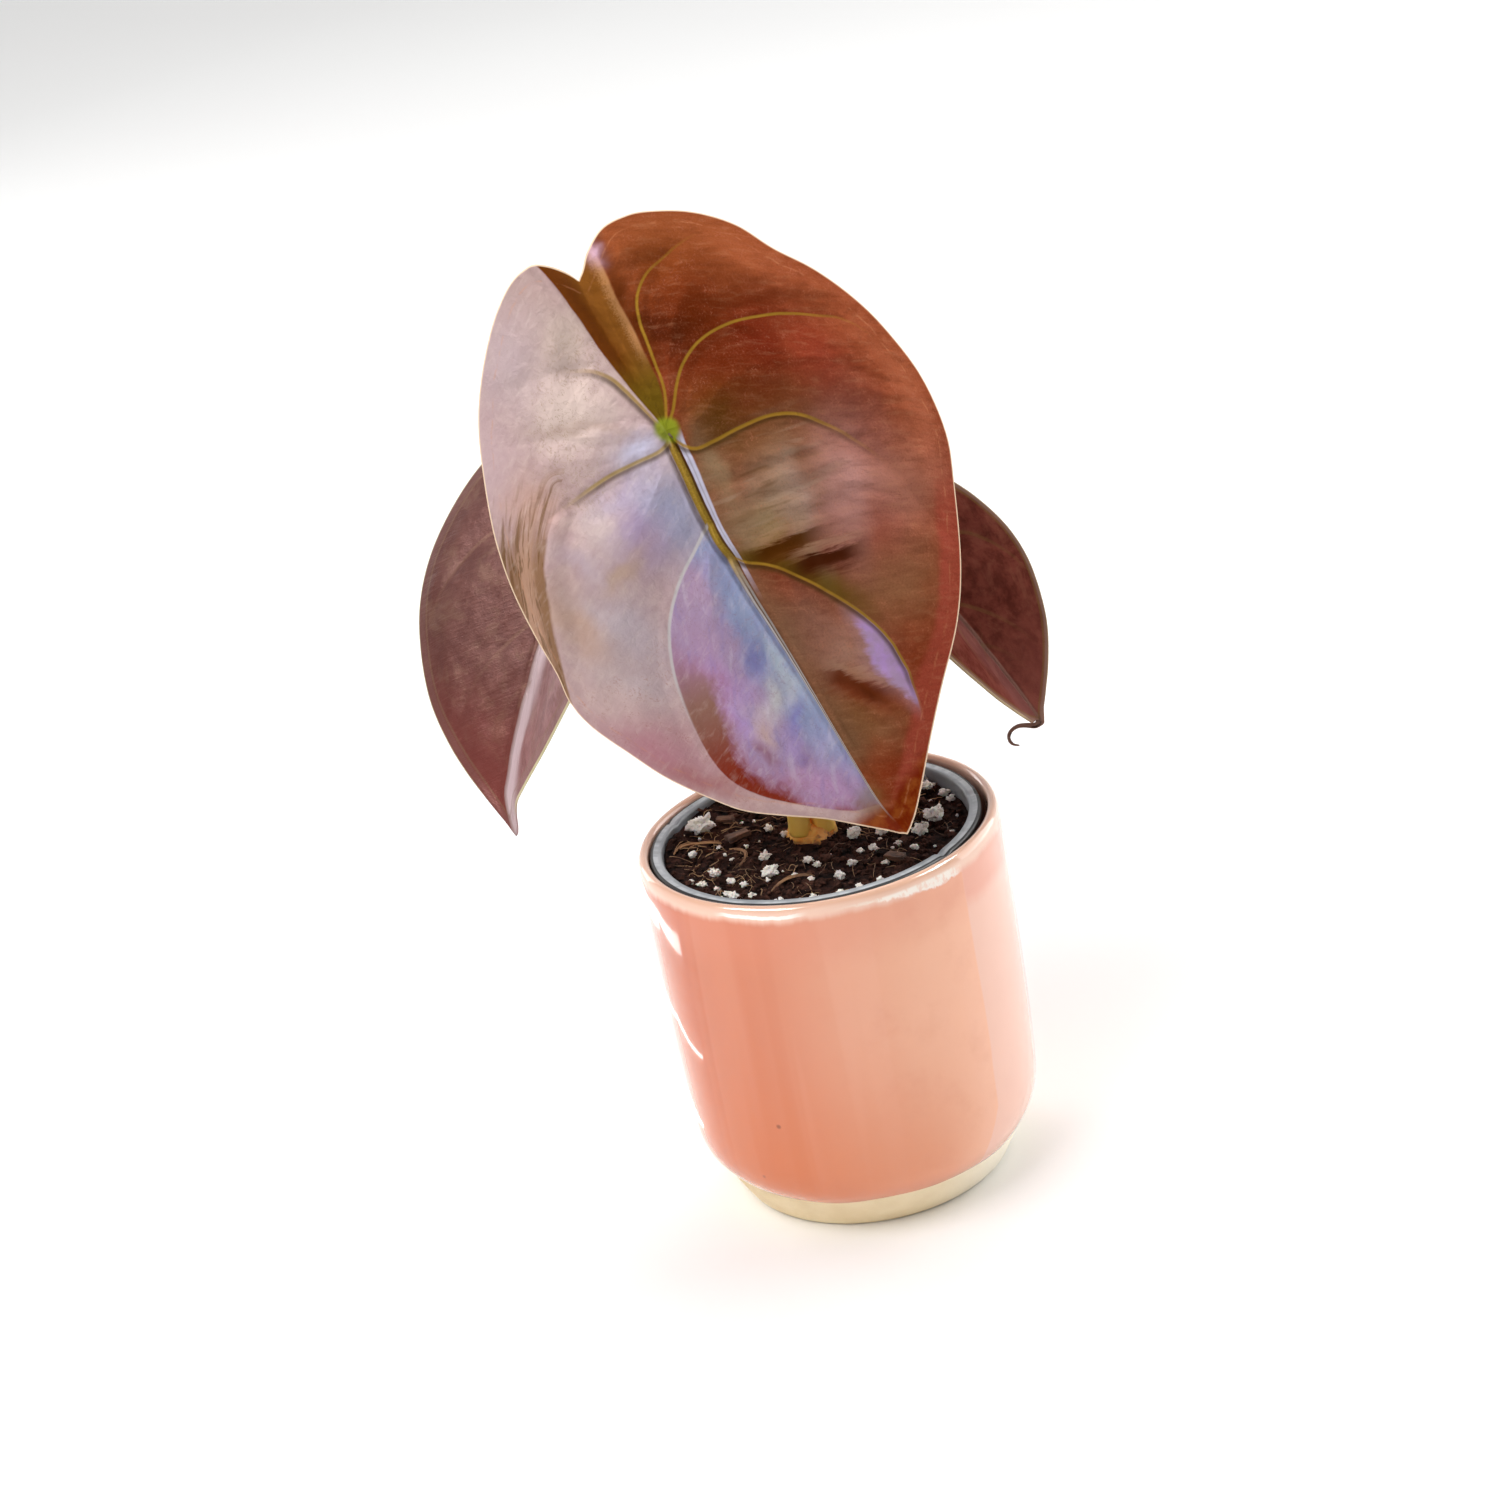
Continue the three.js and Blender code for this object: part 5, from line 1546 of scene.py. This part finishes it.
def makeStalk(key, kit, skin):
    leaf, own = leaves[key], kit[key]
    zero = np.zeros(1)
    back = -bladeKit["thickness"] / 2
    top = bladePoints(leaf, zero + 0.01, zero + 0.01, zero + leaf["joinLift"] + back + 0.12)[0]
    neck = bladePoints(leaf, zero + 0.01, zero + 0.01, zero - 4)[0]
    x, y = own["base"]
    points = [(x, y, z) for z in kit["foot"]] + own["route"] + [tuple(neck), tuple(top)]
    line = spacedLine(smoothLine(points, 40), kit["along"] + 1)
    ways = np.gradient(line, axis=0)
    ways /= np.linalg.norm(ways, axis=1)[:, None]
    side = [np.cross(ways[0], [0, 1, 0.0])]
    for way in ways[1:]:        # the same side all the way up, so that the skin doesn't twist
        kept = side[-1] - way * np.dot(side[-1], way)
        side.append(kept / np.linalg.norm(kept))
    side[0] = side[0] / np.linalg.norm(side[0])

    def place(turn, part):
        i = round(part * kit["along"])
        here = i / kit["along"]
        taper = kit["baseRadius"] + (own["radius"] - kit["baseRadius"]) * float(fadeIn(0, 0.35, here))
        taper *= 1 - 0.2 * float(fadeIn(0.35, 0.9, here))
        a = turn * math.tau
        rib = 1 + 0.035 * math.cos(7 * a) - 0.10 * math.exp(-((a - math.pi) / 0.5) ** 2)
        swell = 1 + 0.28 * float(fadeIn(0.955, 0.995, here)) + 0.1 * float(fadeIn(0.06, 0.0, here))
        size = 0 if i in (0, kit["along"]) else taper * rib * swell
        over = np.cross(side[i], ways[i])
        return line[i] + (side[i] * math.cos(a) + over * math.sin(a)) * size

    build = bmesh.new()
    wrapGrid(build, kit["around"], kit["along"], place)
    piece = meshPiece("stalk" + key.capitalize(), build, materials=[skin])
    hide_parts("leaf_stalk_" + key)


def makeCorm(kit):
    build = bmesh.new()

    def place(turn, part):
        a = turn * math.tau
        at = part * (len(kit["profile"]) - 1)
        r, z = (float(np.interp(at, range(len(kit["profile"])), row)) for row in zip(*kit["profile"]))
        lobes = 1 + 0.06 * math.cos(2 * a + 0.6) + 0.03 * math.cos(5 * a)
        lobes += 0.16 * soft(math.cos(a) * 1.6, math.sin(a) * 1.6, z * 0.5) * min(r / 4, 1)
        z += 0.5 * soft(math.cos(a) * r * 0.4, math.sin(a) * r * 0.4, 7.0) * (z > 6)
        out = r * lobes * (1 + 0.018 * math.sin(z * 6.5)) * kit["spread"]
        return (plantAt[0] + math.cos(a) * out, plantAt[1] + math.sin(a) * out, kit["base"] + z)

    wrapGrid(build, kit["around"], kit["along"], place)
    piece = meshPiece("corm", build, materials=[cormFinish()])
    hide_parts("corm")


skin = stalkFinish()
for key in ("front", "left", "right"):
    makeStalk(key, stalks, skin)
makeCorm(corm)
print("stalks and corm are set")
